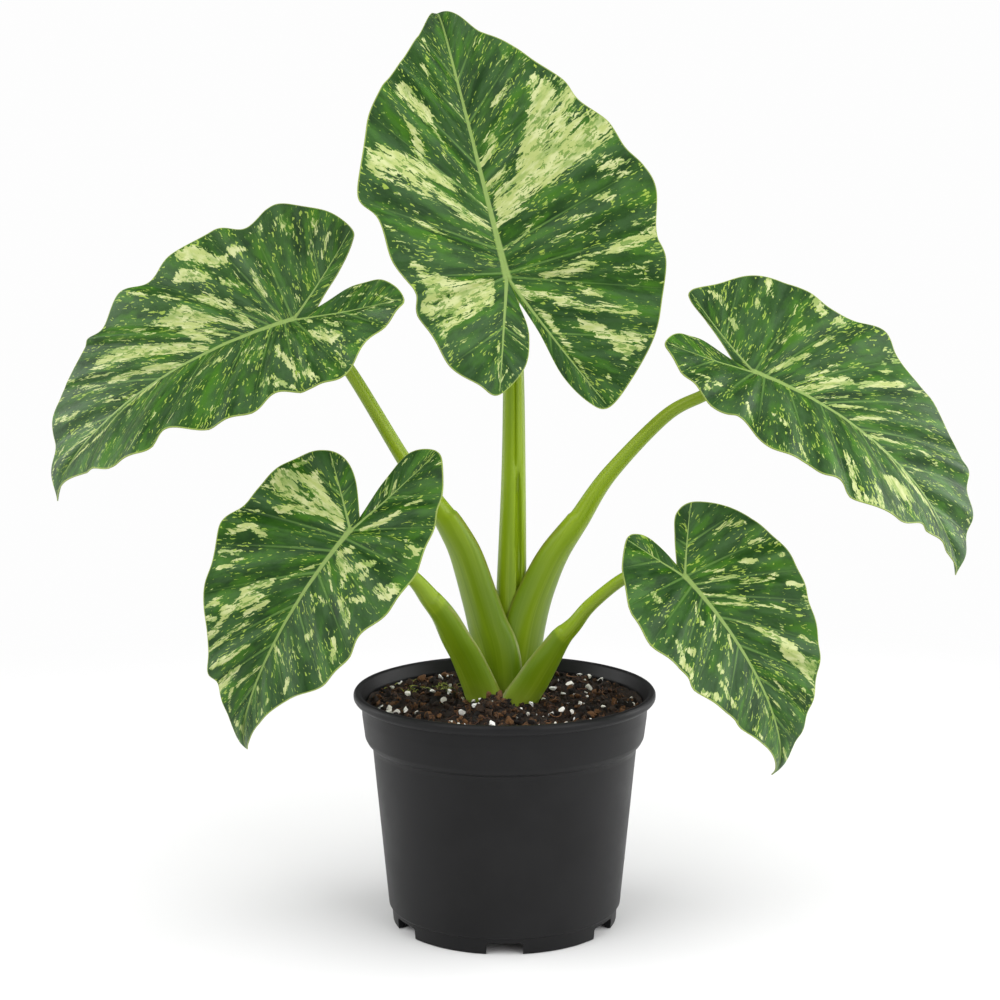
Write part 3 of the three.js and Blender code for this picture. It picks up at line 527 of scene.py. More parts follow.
                (-73, -48, 225.5, 3.3, 3.3, 0), (-81.8, -55, 231.8, 3.3, 3.3, 0),
            ],
        },
    },
    {
        "name": "lower_right",
        "joint": (96.3, -50, 206),
        "heading": -27, "pitch": -42, "roll": 38,
        "bend": {"even": 1.08, "tip": 0.23, "span": 130, "sideways": 0.05},
        "lobes": {"bend": -0.25, "span": 50, "lean": -0.2},
        "fold": (14, 14), "droop": (0.001, 0.0015), "wave": 2,
        "roots": (0, 6, 14, 28, 46, 66, 92),
        "sideA": {
            "outline": [
                (-8, 0), (-20, 7), (-30, 15), (-28, 28), (-9, 46), (15, 53), (34, 52), (47, 48),
                (60, 44), (74, 39), (97, 25), (121, 10), (148, 0),
            ],
            "ends": (1, 2.8, 4, 4.9, 6, 7.2, 8.8, 9.6, 10.3, 11),
            "patches": [
                (3.2, 0.48, 3, 0.88, 0.11, 0.7), (3.2, 0.71, 3.4, 0.88, 0.11, 0.7),
                (3.5, 0.47, 3.6, 0.6, 0.06, 0.6), (3.9, 0.78, 4.2, 0.95, 0.12, 0.7),
                (4.3, 0.2, 4.5, 0.3, 0.08, 0.85), (4.4, 0.55, 4.5, 0.62, 0.11, 0.85),
                (4.4, 0.83, 4.5, 0.92, 0.1, 0.75), (4.9, 0.21, 4.9, 0.4, 0.14, 0.85),
                (5, 0.04, 5, 0.16, 0.06, 0.7), (5.3, 0.43, 5.1, 0.76, 0.15, 0.75),
                (5.4, 0.84, 5.6, 0.96, 0.14, 0.8), (5.8, 0.04, 6.1, 0.34, 0.12, 0.9),
                (5.8, 0.96, 6.2, 0.96, 0.1, 0.7), (6.2, 0.61, 6.3, 0.69, 0.08, 0.7),
                (6.3, 0.06, 6.3, 0.53, 0.05, 0.8), (6.9, 0.63, 6.9, 0.69, 0.11, 0.5),
                (7, 0.1, 7.1, 0.34, 0.03, 0.7), (7, 0.82, 7.1, 0.95, 0.08, 0.8),
                (7.1, 0.36, 7.6, 0.57, 0.12, 0.9), (7.2, 0.5, 7.6, 0.75, 0.17, 1),
                (7.7, 0.61, 7.8, 0.94, 0.2, 1), (7.9, 0.79, 8.3, 1, 0.13, 0.95),
                (8.5, 0.81, 8.6, 0.95, 0.08, 0.7), (8.7, 0.33, 8.9, 0.47, 0.06, 0.7),
                (9.3, 0.62, 9.4, 0.83, 0.06, 0.8), (9.3, 0.02, 9.5, 0.32, 0.06, 0.75),
                (10.4, 0.34, 10.4, 0.96, 0.06, 0.85),
            ],
        },
        "sideB": {
            "outline": [
                (-8, 0), (-26, 6), (-34, 14), (-35, 22), (-24, 34), (-5, 43), (17, 48), (35, 42),
                (48, 42), (68, 31), (82, 26), (112, 9), (148, 0),
            ],
            "ends": (1, 3, 4, 5, 6, 7, 8, 9, 10, 10.8),
            "patches": [
                (4, 0.56, 4.4, 0.58, 0.11, 0.9), (5.4, 0.73, 5.3, 0.86, 0.06, 0.5),
                (5.6, 0.78, 6, 0.88, 0.14, 0.95), (5.7, 0.19, 6.3, 0.32, 0.12, 0.7),
                (6.3, 0.71, 6, 0.74, 0.09, 0.8), (6, 0.92, 6.8, 0.95, 0.13, 0.9),
                (6.8, 0.06, 7.1, 0.27, 0.06, 0.8), (6.8, 0.43, 7.1, 0.46, 0.06, 0.6),
                (7.6, 0.92, 7.2, 0.96, 0.1, 0.95), (7.4, 0.57, 7.8, 0.64, 0.08, 0.9),
                (7.5, 0.08, 7.8, 0.2, 0.08, 0.85), (7.6, 0.3, 7.7, 0.41, 0.04, 0.8),
                (7.6, 0.72, 8.2, 0.83, 0.14, 0.95), (8.9, 0.17, 9.2, 0.23, 0.05, 0.8),
                (9.4, 0.85, 9.7, 0.9, 0.04, 0.7), (9.5, 0.24, 9.8, 0.29, 0.04, 0.8),
            ],
        },
        "stalk": {
            "out": 143,
            "points": [
                (7, -5, 107, 12.5, 8.5, 0.7), (7, -6.5, 125.6, 12.8, 8.5, 0.7),
                (15.6, -10, 141.5, 11.5, 8, 0.65), (22.5, -13.5, 153.6, 9.8, 7.3, 0.55),
                (30.6, -18, 166, 6.6, 6, 0.25), (38.2, -22, 174.2, 4.4, 4.4, 0),
                (47.5, -27, 186.7, 3.6, 3.6, 0), (65.2, -33, 202.3, 3.3, 3.3, 0),
                (80, -35, 206.5, 3.3, 3.3, 0), (90.5, -41, 206, 3.3, 3.3, 0),
                (96.3, -50, 206, 3.3, 3.3, 0),
            ],
        },
    },
]

patch_count = sum(len(leaf[side]["patches"]) for leaf in LEAVES for side in ("sideA", "sideB"))
print(len(LEAVES), "leaves with", patch_count, "marbled patches")

# %% [markdown]
# Bending the pattern
#
# The midrib is bent down towards its tip, and the halves are folded up from it like a book and droop
# again towards the margin. Modifiers could bend a flat mesh, but a formula keeps the leaf exactly on
# the CAD solid, and it works on thousands of points at once when it is written for whole arrays.

# %% From the flat pattern to the bent leaf
COSTA_REACH = 0.85
MIDRIB_REACH = 0.94
BEND_STEPS = 24


def leaf_axes(leaf):
    """Unit vectors along the midrib, to side A, and up out of the upper face, at the joint."""
    heading, pitch, roll = (math.radians(leaf[key]) for key in ("heading", "pitch", "roll"))
    level = np.array([math.cos(heading), math.sin(heading), 0])
    ahead = level * math.cos(pitch) + np.array([0, 0, math.sin(pitch)])
    upward = -level * math.sin(pitch) + np.array([0, 0, math.cos(pitch)])
    face = math.cos(roll) * upward + math.sin(roll) * np.cross(ahead, upward)
    return ahead, np.cross(face, ahead), face


def midrib_bend(leaf, x):
    """How far the midrib has turned at x, in radians."""
    bend, lobes = leaf["bend"], leaf["lobes"]
    t = x / bend["span"]
    return np.where(x < 0, -lobes["bend"] * x / lobes["span"], -(bend["even"] * t + bend["tip"] * t**4))


def midrib_at(leaf, x):
    """Where the bent midrib is at x, as distances along the three axes."""
    bend = leaf["bend"]
    place = np.zeros(x.shape + (3,))
    for i in range(BEND_STEPS):
        at = x * (i + 0.5) / BEND_STEPS
        down = midrib_bend(leaf, at)
        turn = bend["sideways"] * np.maximum(at / bend["span"], 0) ** 4
        step = x / BEND_STEPS
        place[..., 0] += np.cos(down) * np.cos(turn) * step
        place[..., 1] += np.cos(down) * np.sin(turn) * step
        place[..., 2] += np.sin(down) * step
    place[..., 1] += leaf["lobes"]["lean"] * np.minimum(x, 0)
    return place


NORMAL_TURN = 1.5


def blade_surface(leaf, x, distance, side):
    """Points and upward normals of the bent blade for flat points; side is 1 or -1."""
    ahead, aside, face = leaf_axes(leaf)
    centre = midrib_at(leaf, x)
    down = midrib_bend(leaf, x)[..., None]
    up = np.cos(down) * face - np.sin(down) * ahead
    index = 0 if side > 0 else 1
    fold, curl = math.radians(leaf["fold"][index]), leaf["droop"][index]
    slope = (fold - curl * distance)[..., None]
    point = np.array(leaf["joint"]) + centre[..., :1] * ahead
    point = point + centre[..., 1:2] * aside + centre[..., 2:] * face
    point = point + aside * side * (math.sin(fold) - np.sin(slope)) / curl
    point = point + up * (np.cos(slope) - math.cos(fold)) / curl
    tilt = slope * smooth_step(distance, 0, NORMAL_TURN)[..., None]
    return point, np.cos(tilt) * up - side * np.sin(tilt) * aside


print("top leaf's tip is", blade_surface(LEAVES[0], np.array([182.0]), np.array([0.0]), 1)[0].round(1))

# %% [markdown]
# Columns and rows
#
# A blade's mesh follows its veins: each column runs from the midrib to the margin, and each row keeps
# one share of that way. A plain square grid would cut across the veins and need far more points. The
# columns crowd together beside each vein, and the first rows beside the midrib, because the raised
# ribs are only a millimetre or two wide there.

# %% The grid of one half blade
VEINS = 11
BESIDE_VEIN = (0.0, 0.016, 0.036, 0.062, 0.1)
BETWEEN_VEINS = tuple(np.linspace(0.15, 0.85, 15))
BEFORE_VEIN = (0.9, 0.938, 0.964, 0.984)
RIB_ROWS = (0, 0.45, 0.95, 1.5, 2.1, 2.8, 3.7, 5.0)
OPEN_ROWS = 25
RIB_SHARE = 0.2


def vein_numbers():
    steps = (*BESIDE_VEIN, *BETWEEN_VEINS, *BEFORE_VEIN)
    return np.array([vein + step for vein in range(VEINS) for step in steps] + [VEINS])


def half_pattern(leaf, half, numbers):
    """For each vein number: flat root on the spine, flat end on the margin."""
    outline = np.array(half["outline"], dtype=float)
    last = len(outline) - 1
    lobe_tip = along(outline, half["ends"][1])
    costa = -COSTA_REACH * np.hypot(*lobe_tip)
    tip_root = MIDRIB_REACH * outline[last][0]
    roots = np.interp(numbers, range(VEINS + 1), [0, costa / 2, costa, costa / 2, *leaf["roots"], tip_root])
    ends = np.interp(numbers, range(VEINS + 1), [0, *half["ends"], last])
    back = lobe_tip / np.hypot(*lobe_tip) * -roots[:, None]
    root = np.where(roots[:, None] >= 0, np.stack([roots, 0 * roots], 1), back)
    return root, along(outline, ends), lobe_tip


def share_rows(length):
    """The shares of the rows of each column: some at fixed distances beside the rib, then even ones."""
    reach = np.minimum(RIB_ROWS[-1], RIB_SHARE * length)
    near = np.array(RIB_ROWS)[None] / RIB_ROWS[-1] * (reach / length)[:, None]
    even = np.linspace(0, 1, OPEN_ROWS + 1)[1:]
    far = near[:, -1:] + (1 - near[:, -1:]) * even[None]
    return np.concatenate([near, far], axis=1)


print(len(vein_numbers()), "columns by", len(RIB_ROWS) + OPEN_ROWS, "rows on each half")

# %% [markdown]
# Relief of the blade
#
# Between its veins the blade is pushed up into soft quilts, which grow towards the waved margin. The
# midrib and costa are round ridges, and the laterals are fine ones. All of them stand higher on the
# underside, where a real leaf carries its veins. This could be a bump in the material, but the quilts
# show in the outline and in the mesh itself, so they are real height here.

# %% Heights over the bent surface
BLADE_HALF_THICKNESS = 0.34
RIB_HALF_WIDTH = {"midrib": 3.2, "costa": 1.7}
RIB_NARROWS = 0.86
RIB_NARROWS_EARLY = 0.45
RIB_ROUNDNESS = 1.5
COSTA_STOPS = 0.97
RIB_SIZE = {"top": 1.0, "upper_right": 0.78, "upper_left": 0.82, "lower_left": 0.74, "lower_right": 0.72}
RIB_HEIGHT = {"front": 0.75, "back": 2.0}
LATERAL_WIDTH = {"root": 0.9, "margin": 0.3}
LATERAL_HEIGHT = {"front": 0.22, "back": 0.75}
LATERAL_FADES = 0.75
FAR_OFF = 99.0
PUCKER = 2.1
PUCKER_FLATNESS = 0.8
QUILT_LEAST = 0.65
QUILT_VARIES = 0.7
QUILT_SINKS = 0.4
QUILT_TO_MARGIN = 1.3
QUILT_FULL_LENGTH = 55
QUILT_SEED = 10


def chance(n):
    """A number from 0 to 1 that looks random but is always the same for the same n."""
    value = np.sin(n * 12.9898 + 4.137) * 43758.5453
    return value - np.floor(value)


def quilting(leaf, numbers, shares, length):
    """How far the blade rises between veins and sinks at them, in millimetres."""
    interval = np.minimum(np.floor(numbers), VEINS - 1)
    part = numbers - interval
    here = QUILT_LEAST + QUILT_VARIES * chance(interval + leaf["wave"] * QUILT_SEED)
    following = QUILT_LEAST + QUILT_VARIES * chance(interval + 1 + leaf["wave"] * QUILT_SEED)
    strength = here + (following - here) * smooth_step(part, 0.7, 1)
    between = np.sin(math.pi * part) ** 2
    size = np.minimum(length / QUILT_FULL_LENGTH, 1)[:, None]
    wide = leaf["wave"] * (strength * (between - QUILT_SINKS))[:, None] * shares**QUILT_TO_MARGIN * size
    return wide + PUCKER * between[:, None] * np.sin(math.pi * shares) ** PUCKER_FLATNESS * size


def distance_to_line(points, start, end):
    """Distance from flat points to a straight stretch, and how far along it each lies, from 0 to 1."""
    run = end - start
    t = np.clip(((points - start) @ run) / max(run @ run, 1e-6), 0, 1)
    return np.linalg.norm(points - start - t[..., None] * run, axis=-1), t


def rib_relief(points, lobe_tip, tip_x, size):
    """Height of the midrib and costa, and the distance from them counted in rib half widths."""
    ends = {"midrib": np.array([tip_x, 0]), "costa": lobe_tip * COSTA_STOPS}
    height = np.zeros(points.shape[:-1])
    distance = np.full(points.shape[:-1], FAR_OFF)
    for kind, end in ends.items():
        off, t = distance_to_line(points, np.zeros(2), end)
        off = off / (size * RIB_HALF_WIDTH[kind] * (1 - RIB_NARROWS * t**RIB_NARROWS_EARLY))
        taper = (1 - t) * RIB_HALF_WIDTH[kind] / RIB_HALF_WIDTH["midrib"]
        height = np.maximum(height, taper * np.clip(1 - off**2, 0, 1) ** RIB_ROUNDNESS)
        distance = np.minimum(distance, off)
    return height, distance


def lateral_relief(points, roots, margins, shares):
    """Height of the laterals, and the distance from them counted in lateral widths."""
    distance = np.full(points.shape[:-1], FAR_OFF)
    for root, margin in zip(roots, margins):
        distance = np.minimum(distance, distance_to_line(points, root, margin)[0])
    width = LATERAL_WIDTH["root"] + (LATERAL_WIDTH["margin"] - LATERAL_WIDTH["root"]) * shares
    return np.exp(-((distance / width) ** 2)) * (1 - LATERAL_FADES * shares), distance / width


print("relief: midrib", RIB_HEIGHT, "laterals", LATERAL_HEIGHT)

# %% [markdown]
# Where the marbling lies
#
# On the plant the cream parts are cells without green, and they grow out in streaks along the veins. A
# painted picture could hold them, and so could noise alone, but noise doesn't put the big patches where
# this plant has them. So each patch is a soft stroke between two places on the leaf, stored at the
# mesh's points, and the material later breaks its edge up with fine noise that runs along the veins.

# %% Soft strokes of marbling
STROKE_END = 0.05
STROKE_EDGE = (1.9, 0.2)
THINNEST_STROKE = 0.07


def marbling(half, numbers, shares):
    """The strongest stroke at each point, from 0 to 1."""
    wash = np.zeros(shares.shape)
    for n0, s0, n1, s1, half_width, strength in half["patches"]:
        width = max(half_width, THINNEST_STROKE)
        place = np.stack([np.broadcast_to(numbers[:, None], shares.shape) / width, shares / STROKE_END], -1)
        start, end = np.array([n0 / width, s0 / STROKE_END]), np.array([n1 / width, s1 / STROKE_END])
        distance = distance_to_line(place, start, end)[0]
        wash = np.maximum(wash, strength * (1 - smooth_step(distance, STROKE_EDGE[1], STROKE_EDGE[0])))
    return wash


print("strongest stroke:", max(p[5] for leaf in LEAVES for p in leaf["sideA"]["patches"]))

# %% [markdown]
# Marbling as a node group
#
# The group turns a place on the leaf into masks. Its place is counted in millimetres across and along
# the veins, so one noise, squeezed across and stretched along, gives streaks that follow every vein.
# Where a stroke is strong the noise passes a threshold and the cream shows; elsewhere only its highest
# peaks do, as specks. The leaf material uses the group once, and every leaf has its own seed.

# %% The marbling group
MARBLING_OUTPUTS = ("Cream", "Pale", "Hole", "Fleck", "GreySheen", "Bright")


def marbling_group():
    inputs = [("Place", "Vector", None), ("Wash", "Float", 0.0), ("Specks", "Float", 0.2)]
    outputs = [(label, "Float") for label in MARBLING_OUTPUTS]
    tree, nodes, given, result = new_group("leaf marbling", inputs, outputs)
    sway = nodes.vector("SUBTRACT", nodes.noise(given["Place"], 0.16, 3, 0.6, colour=True), (0.5, 0.5, 0.5))
    place = nodes.vector("ADD", given["Place"], nodes.vector("MULTIPLY", sway, (3.5, 9.0, 0.0)))

    def streaks(across, length, detail, roughness, shift):
        squeezed = nodes.vector("MULTIPLY", place, (1 / across, 1 / length, 1.0))
        return nodes.noise(nodes.vector("ADD", squeezed, (0, 0, shift)), 1.0, detail, roughness)

    broad = streaks(2.9, 17, 5, 0.66, 0)
    fine = streaks(0.95, 4.8, 2, 0.5, 7.3)
    clusters = streaks(13, 24, 2, 0.5, 3.1)
    background = nodes.ramp(clusters, 0.38, 0.68, 0.0, 0.26)
    start = nodes.maths("MAXIMUM", given["Wash"], nodes.maths("ADD", background, given["Specks"]))
    lift = nodes.maths("MULTIPLY_ADD", nodes.maths("SUBTRACT", broad, 0.5), 2.3, start)
    score = nodes.maths("MULTIPLY_ADD", nodes.maths("SUBTRACT", fine, 0.5), 1.3, lift)
    holes = streaks(1.3, 3.0, 2, 0.5, 21.7)
    crowded = nodes.ramp(streaks(8, 13, 2, 0.5, 33.3), 0.42, 0.6, -0.1, 0.08)
    flecks = streaks(0.85, 3.4, 0, 0.5, 41.3)
    strewn = nodes.ramp(streaks(9, 17, 2, 0.5, 51.9), 0.42, 0.68, -0.09, 0.05)
    # Painted sheen: broad grey-green streaks stand for the soft sheen on the blade.
    grey = streaks(6, 30, 4, 0.55, 11.9)
    bright = streaks(8, 22, 3, 0.5, 17.5)
    masks = {
        "Cream": nodes.ramp(score, 0.66, 0.72),
        "Pale": nodes.ramp(score, 0.59, 0.65),
        "Hole": nodes.ramp(nodes.maths("ADD", holes, crowded), 0.57, 0.61),
        "Fleck": nodes.ramp(nodes.maths("ADD", flecks, strewn), 0.66, 0.71),
        "GreySheen": nodes.ramp(grey, 0.4, 0.65),
        "Bright": nodes.ramp(bright, 0.45, 0.68),
    }
    for label, socket in masks.items():
        tree.links.new(socket, result.inputs[label])
    return tree


MARBLING = marbling_group()
print("marbling gives", ", ".join(MARBLING_OUTPUTS))

# %% [markdown]
# The leaf's finish
#
# The upper face has a waxy sheen over dark green and brighter green, with the cream laid over them.
# Broad grey-green streaks are painted sheen, and painted shade darkens the troughs beside the laterals.
# The ribs are pale, and a thin yellow-green line runs round the margin. The underside is duller and
# paler. All of it is one material that reads where it is from values stored on the mesh.

# %% The leaf material
LEAF_PAINTS = {
    "dark": paint(20, 50, 12),
    "green": paint(40, 76, 20),
    "grey": paint(62, 92, 54),
    "bright": paint(66, 116, 14),
    "pale": paint(108, 138, 62),
    "fleck": paint(142, 166, 66),
    "cream": paint(158, 170, 102),
    "milk": paint(182, 188, 134),
    "rib": paint(126, 150, 80),
    "vein": paint(88, 122, 56),
    "margin": paint(142, 158, 78),
    "under": paint(100, 128, 70),
}


def leaf_material():
    material, nodes, surface = new_material("leaf_blade")
    place = nodes.attribute("fan")
    wash, under, far_out = nodes.parts(nodes.attribute("wash"))
    rib, vein, margin = nodes.parts(nodes.attribute("off"))
    marks = nodes.group(MARBLING, {"Place": place, "Wash": wash, "Specks": 0.08})
    colours = LEAF_PAINTS
    mottle = nodes.noise(nodes.vector("MULTIPLY", place, (0.12, 0.05, 1.0)), 1.0, 4, 0.6)
    colour = nodes.mix(nodes.ramp(mottle, 0.3, 0.7), colours["dark"], colours["green"])
    colour = nodes.mix(nodes.maths("MULTIPLY", marks["Bright"], 0.6), colour, colours["bright"])
    # Painted sheen: grey-green laid over the green in broad streaks.
    colour = nodes.mix(nodes.maths("MULTIPLY", marks["GreySheen"], 0.45), colour, colours["grey"])
    # Painted shade: darker green in the trough beside each lateral vein.
    colour = nodes.mix(nodes.ramp(vein, 4.0, 0.8, 0.0, 0.28), colour, colours["dark"])
    near_root = nodes.ramp(far_out, 0.9, 0.1, 0.2, 0.75)
    vein_line = nodes.maths("MULTIPLY", nodes.ramp(vein, 1.1, 0.3), near_root)
    colour = nodes.mix(vein_line, colour, colours["vein"])
    colour = nodes.mix(nodes.maths("MULTIPLY", marks["Fleck"], 0.85), colour, colours["fleck"])
    colour = nodes.mix(nodes.maths("MULTIPLY", marks["Pale"], 0.8), colour, colours["pale"])
    milk = nodes.ramp(nodes.noise(nodes.vector("MULTIPLY", place, (0.3, 0.1, 1.0)), 1.0, 4, 0.6), 0.42, 0.62)
    cream = nodes.mix(milk, colours["cream"], colours["milk"])
    greenish = nodes.noise(nodes.vector("MULTIPLY", place, (0.16, 0.045, 1.0)), 1.0, 4, 0.62)
    cream = nodes.mix(nodes.ramp(greenish, 0.52, 0.66, 0.0, 0.6), cream, colours["pale"])
    whole = nodes.maths("SUBTRACT", 1.0, nodes.maths("MULTIPLY", marks["Hole"], 0.9))
    colour = nodes.mix(nodes.maths("MULTIPLY", marks["Cream"], whole), colour, cream)
    colour = nodes.mix(nodes.maths("MULTIPLY", nodes.ramp(rib, 1.05, 0.6), 0.92), colour, colours["rib"])
    colour = nodes.mix(nodes.maths("MULTIPLY", nodes.ramp(margin, 0.7, 0.3), 0.8), colour, colours["margin"])
    colour = nodes.mix(nodes.maths("MULTIPLY", under, 0.62), colour, colours["under"])
    grain = nodes.noise(nodes.vector("MULTIPLY", place, (0.9, 0.35, 1.0)), 1.0, 4, 0.6)
    rough = nodes.ramp(grain, 0.3, 0.7, 0.36, 0.48)
    rough = nodes.maths("MULTIPLY_ADD", under, 0.25, rough)
    bump = nodes.make("ShaderNodeBump", {"Height": grain, "Strength": 0.25, "Distance": 0.0006})
    wire(nodes, surface, Base_Color=colour, Roughness=rough, Normal=bump.outputs[0])
    surface.inputs["Specular IOR Level"].default_value = 0.16
    return material


LEAF = leaf_material()
print("leaf material has", len(LEAF.node_tree.nodes), "nodes")

# %% [markdown]
# Building a blade
#
# Both halves are laid out as grids, front and back, and their points on the midrib are the same, so
# points that coincide are joined into one. Values for the material are kept for each face corner and
# not for each point: at the midrib the two halves meet with different vein numbers, and corners let
# each face keep its own.

# %% The blades
SIDE_SHIFT = 400.0
LEAF_SEED = 3.7
PLAN_FOR_MAP = {"x": (-95, 225), "y": (-100, 100)}
ACROSS_SHARE = 0.6
MAP_STRIP = 0.02
RIM_ON_STRIP = (0.15, 0.75)


def half_blade(leaf, key, side, seed):
    """One half blade: points of both faces, and the values that its material reads."""
    half = leaf[key]
    numbers = vein_numbers()
    root, margin, lobe_tip = half_pattern(leaf, half, numbers)
    length = np.linalg.norm(margin - root, axis=1)
    shares = share_rows(length)
    flat = root[:, None] + shares[..., None] * (margin - root)[:, None]
    point, normal = blade_surface(leaf, flat[..., 0], flat[..., 1], side)
    whole = np.isin(numbers, range(1, VEINS))
    ribs, rib_off = rib_relief(flat, lobe_tip, half["outline"][-1][0], RIB_SIZE[leaf["name"]])
    laterals, vein_off = lateral_relief(flat, root[whole], margin[whole], shares)
    raised = quilting(leaf, numbers, shares, length)
    front = raised + BLADE_HALF_THICKNESS + RIB_HEIGHT["front"] * ribs + LATERAL_HEIGHT["front"] * laterals
    back = raised - BLADE_HALF_THICKNESS - RIB_HEIGHT["back"] * ribs - LATERAL_HEIGHT["back"] * laterals
    middle = root + ACROSS_SHARE * (margin - root)
    across = np.concatenate([[0], np.cumsum(np.linalg.norm(np.diff(middle, axis=0), axis=1))])
    fan = np.stack([
        np.broadcast_to(across[:, None], shares.shape) + (SIDE_SHIFT if side > 0 else 0),
        shares * length[:, None],
        np.full(shares.shape, seed),
    ], -1)
    wash = np.stack([marbling(half, numbers, shares), shares], -1)
    off = np.stack([rib_off, vein_off, (1 - shares) * length[:, None]], -1)
    return {
        "front": point + normal * front[..., None],
        "back": point + normal * back[..., None],
        "fan": fan,
        "wash": wash,
        "off": off,
        "flat": np.stack([flat[..., 0], flat[..., 1] * side], -1),
    }


def face_grid(columns, rows, flip):
    """Corner numbers of the faces between neighbouring columns and rows."""
    c, r = np.meshgrid(np.arange(columns - 1), np.arange(rows - 1), indexing="ij")
    first = (c * rows + r).ravel()
    quads = np.stack([first, first + rows, first + rows + 1, first + 1], 1)
    return quads[:, ::-1] if flip else quads


def on_map(flat, under):
    """Where a flat point lies on the texture map: the upper face on the left half, the lower on the right."""
    (x0, x1), (y0, y1) = PLAN_FOR_MAP["x"], PLAN_FOR_MAP["y"]
    u = (flat[:, 1] - y0) / (y1 - y0) / 2 + 0.5 * under
    v = MAP_STRIP + (1 - MAP_STRIP) * (flat[:, 0] - x0) / (x1 - x0)
    return np.stack([u, v], 1)


def blade_parts(leaf, seed):
    """Points, faces and corner values of a whole blade, before equal points are joined."""
    points, faces, fan, wash, off, uv = [], [], [], [], [], []
    count = 0
    for key, side in (("sideA", 1), ("sideB", -1)):
        half = half_blade(leaf, key, side, seed)
        columns, rows = half["wash"].shape[:2]
        size = columns * rows
        flat = half["flat"].reshape(-1, 2)
        values = {name: half[name].reshape(size, -1) for name in ("fan", "wash", "off")}
        for under, sheet in ((0, "front"), (1, "back")):
            points.append(half[sheet].reshape(-1, 3))
            quads = face_grid(columns, rows, flip=(side > 0) != (under > 0))
            corners = quads.ravel()
            faces.append(quads + count + under * size)
            fan.append(values["fan"][corners])
            mark, share = values["wash"][corners].T
            wash.append(np.stack([mark, np.full_like(mark, under), share], 1))
            off.append(values["off"][corners])
            uv.append(on_map(flat[corners], under))
        edge = np.arange(columns) * rows + rows - 1
        a, b = edge[:-1], edge[1:]
        rim = np.stack([a, a + size, b + size, b] if side > 0 else [a, b, b + size, a + size], 1)
        faces.append(rim + count)
        corners = (rim % size).ravel()
        fan.append(values["fan"][corners])
        mark, share = values["wash"][corners].T
        wash.append(np.stack([mark, 0 * mark, share], 1))
        off.append(values["off"][corners])
        round_edge = (corners // rows) / columns / 2 + (0.5 if side < 0 else 0)
        on_strip = np.where((rim >= size).ravel(), *RIM_ON_STRIP) * MAP_STRIP
        uv.append(np.stack([round_edge, on_strip], 1))
        count += 2 * size
    return tuple(np.concatenate(parts) for parts in (points, faces, fan, wash, off, uv))


def joined(points, faces):
    """Makes points that coincide one point, and gives the faces the new point numbers."""
    _, first, index = np.unique(points.round(3), axis=0, return_index=True, return_inverse=True)
    faces = index.ravel()[faces]
    return points[first], faces


def build_blade(leaf, seed):
    """One whole blade; a face loses a corner that was joined with its neighbour."""
    points, faces, fan, wash, off, uv = blade_parts(leaf, seed)
    points, faces = joined(points, faces)
    kept_faces, kept_corners = [], []
    for number, quad in enumerate(faces.tolist()):
        corners = [k for k in range(4) if quad[k] != quad[k - 1]]
        if len(corners) > 2:
            kept_faces.append([quad[k] for k in corners])
            kept_corners.extend(4 * number + k for k in corners)
    name = f"leaf_{leaf['name']}"
    blade = new_piece(name, points, kept_faces, LEAF, [f"blade_{leaf['name']}"])
    put_attribute(blade, "fan", fan[kept_corners], "CORNER")
    put_attribute(blade, "wash", wash[kept_corners], "CORNER")
    put_attribute(blade, "off", off[kept_corners], "CORNER")
    layer = blade.data.uv_layers.new(name="OFBake")
    layer.data.foreach_set("uv", uv[kept_corners].astype(np.float32).ravel())
    return blade


blades = [build_blade(leaf, LEAF_SEED * (i + 1)) for i, leaf in enumerate(LEAVES)]
for blade in blades:
    print(blade.name, len(blade.data.polygons), "faces")

# %% [markdown]
# The stalks
#
# A leaf stalk is round under its blade and opens at its foot into a sheath, a thin shell that clasps the
# stalks inside it. Its two edges run up the stalk and end in a little step. Sweeping one section along
# a curve gives all of it, if the section may change: half width, depth and how hollow it is are read
# from the same points as the CAD solid, and the path's frame is carried along without twisting.

# %% Sweeping a stalk
STALK_RINGS = 150
STALK_ARC = 22
SHEATH_EDGE = 1.0
WING = {
    "upper_right": {"side": -1, "place": 5.0},
    "upper_left": {"side": 1, "place": 5.4},
    "lower_left": {"side": 1, "place": 5.0},
    "lower_right": {"side": -1, "place": 4.5},
}
WING_STEP = 1.1
WING_RISE = 1.1
WING_ARC = (0.5, 1)
SLIT = {"depth": 3.0, "low": 0.42, "high": 0.16, "width": 0.09, "open": 0.3, "foot": 150, "head": 262}
SLIT_OPENS_OVER = 12
SLIT_GROOVE = 0.5
SLIT_NEAR_EDGE = (-0.03, 0.04)
SLIT_FAR_EDGE = (SLIT["open"] + 0.12, SLIT["open"] - 0.1)
HOLLOW_REACH = 1.35
HOLLOW_ENDS = (0.25, 0.05)
NO_EDGE = 30
TANGENT_STEP = 0.1
CLEARANCE = 0.3
HEAD_REACH = 14.0


def stalk_frames(points):
    """Places along the list of points, the stations read there, and the way the stalk runs at each."""
    last = len(points) - 1
    places = np.linspace(0, last, STALK_RINGS + 1)
    stations = along(points, places)
    before = along(points, np.maximum(places - TANGENT_STEP, 0))[:, :3]
    after = along(points, np.minimum(places + TANGENT_STEP, last))[:, :3]
    tangents = (after - before) / np.linalg.norm(after - before, axis=1)[:, None]
    tangents[0] = (0, 0, 1)
    return places, stations, tangents


def carried_outward(tangents, out):
    """The outward direction at each ring, carried up the stalk without twist."""
    outward = np.array([math.sin(math.radians(out)), math.cos(math.radians(out)), 0])
    carried = []
    for tangent in tangents:
        outward = outward - tangent * (tangent @ outward)
        outward = outward / np.linalg.norm(outward)
        carried.append(outward)
    return np.array(carried)


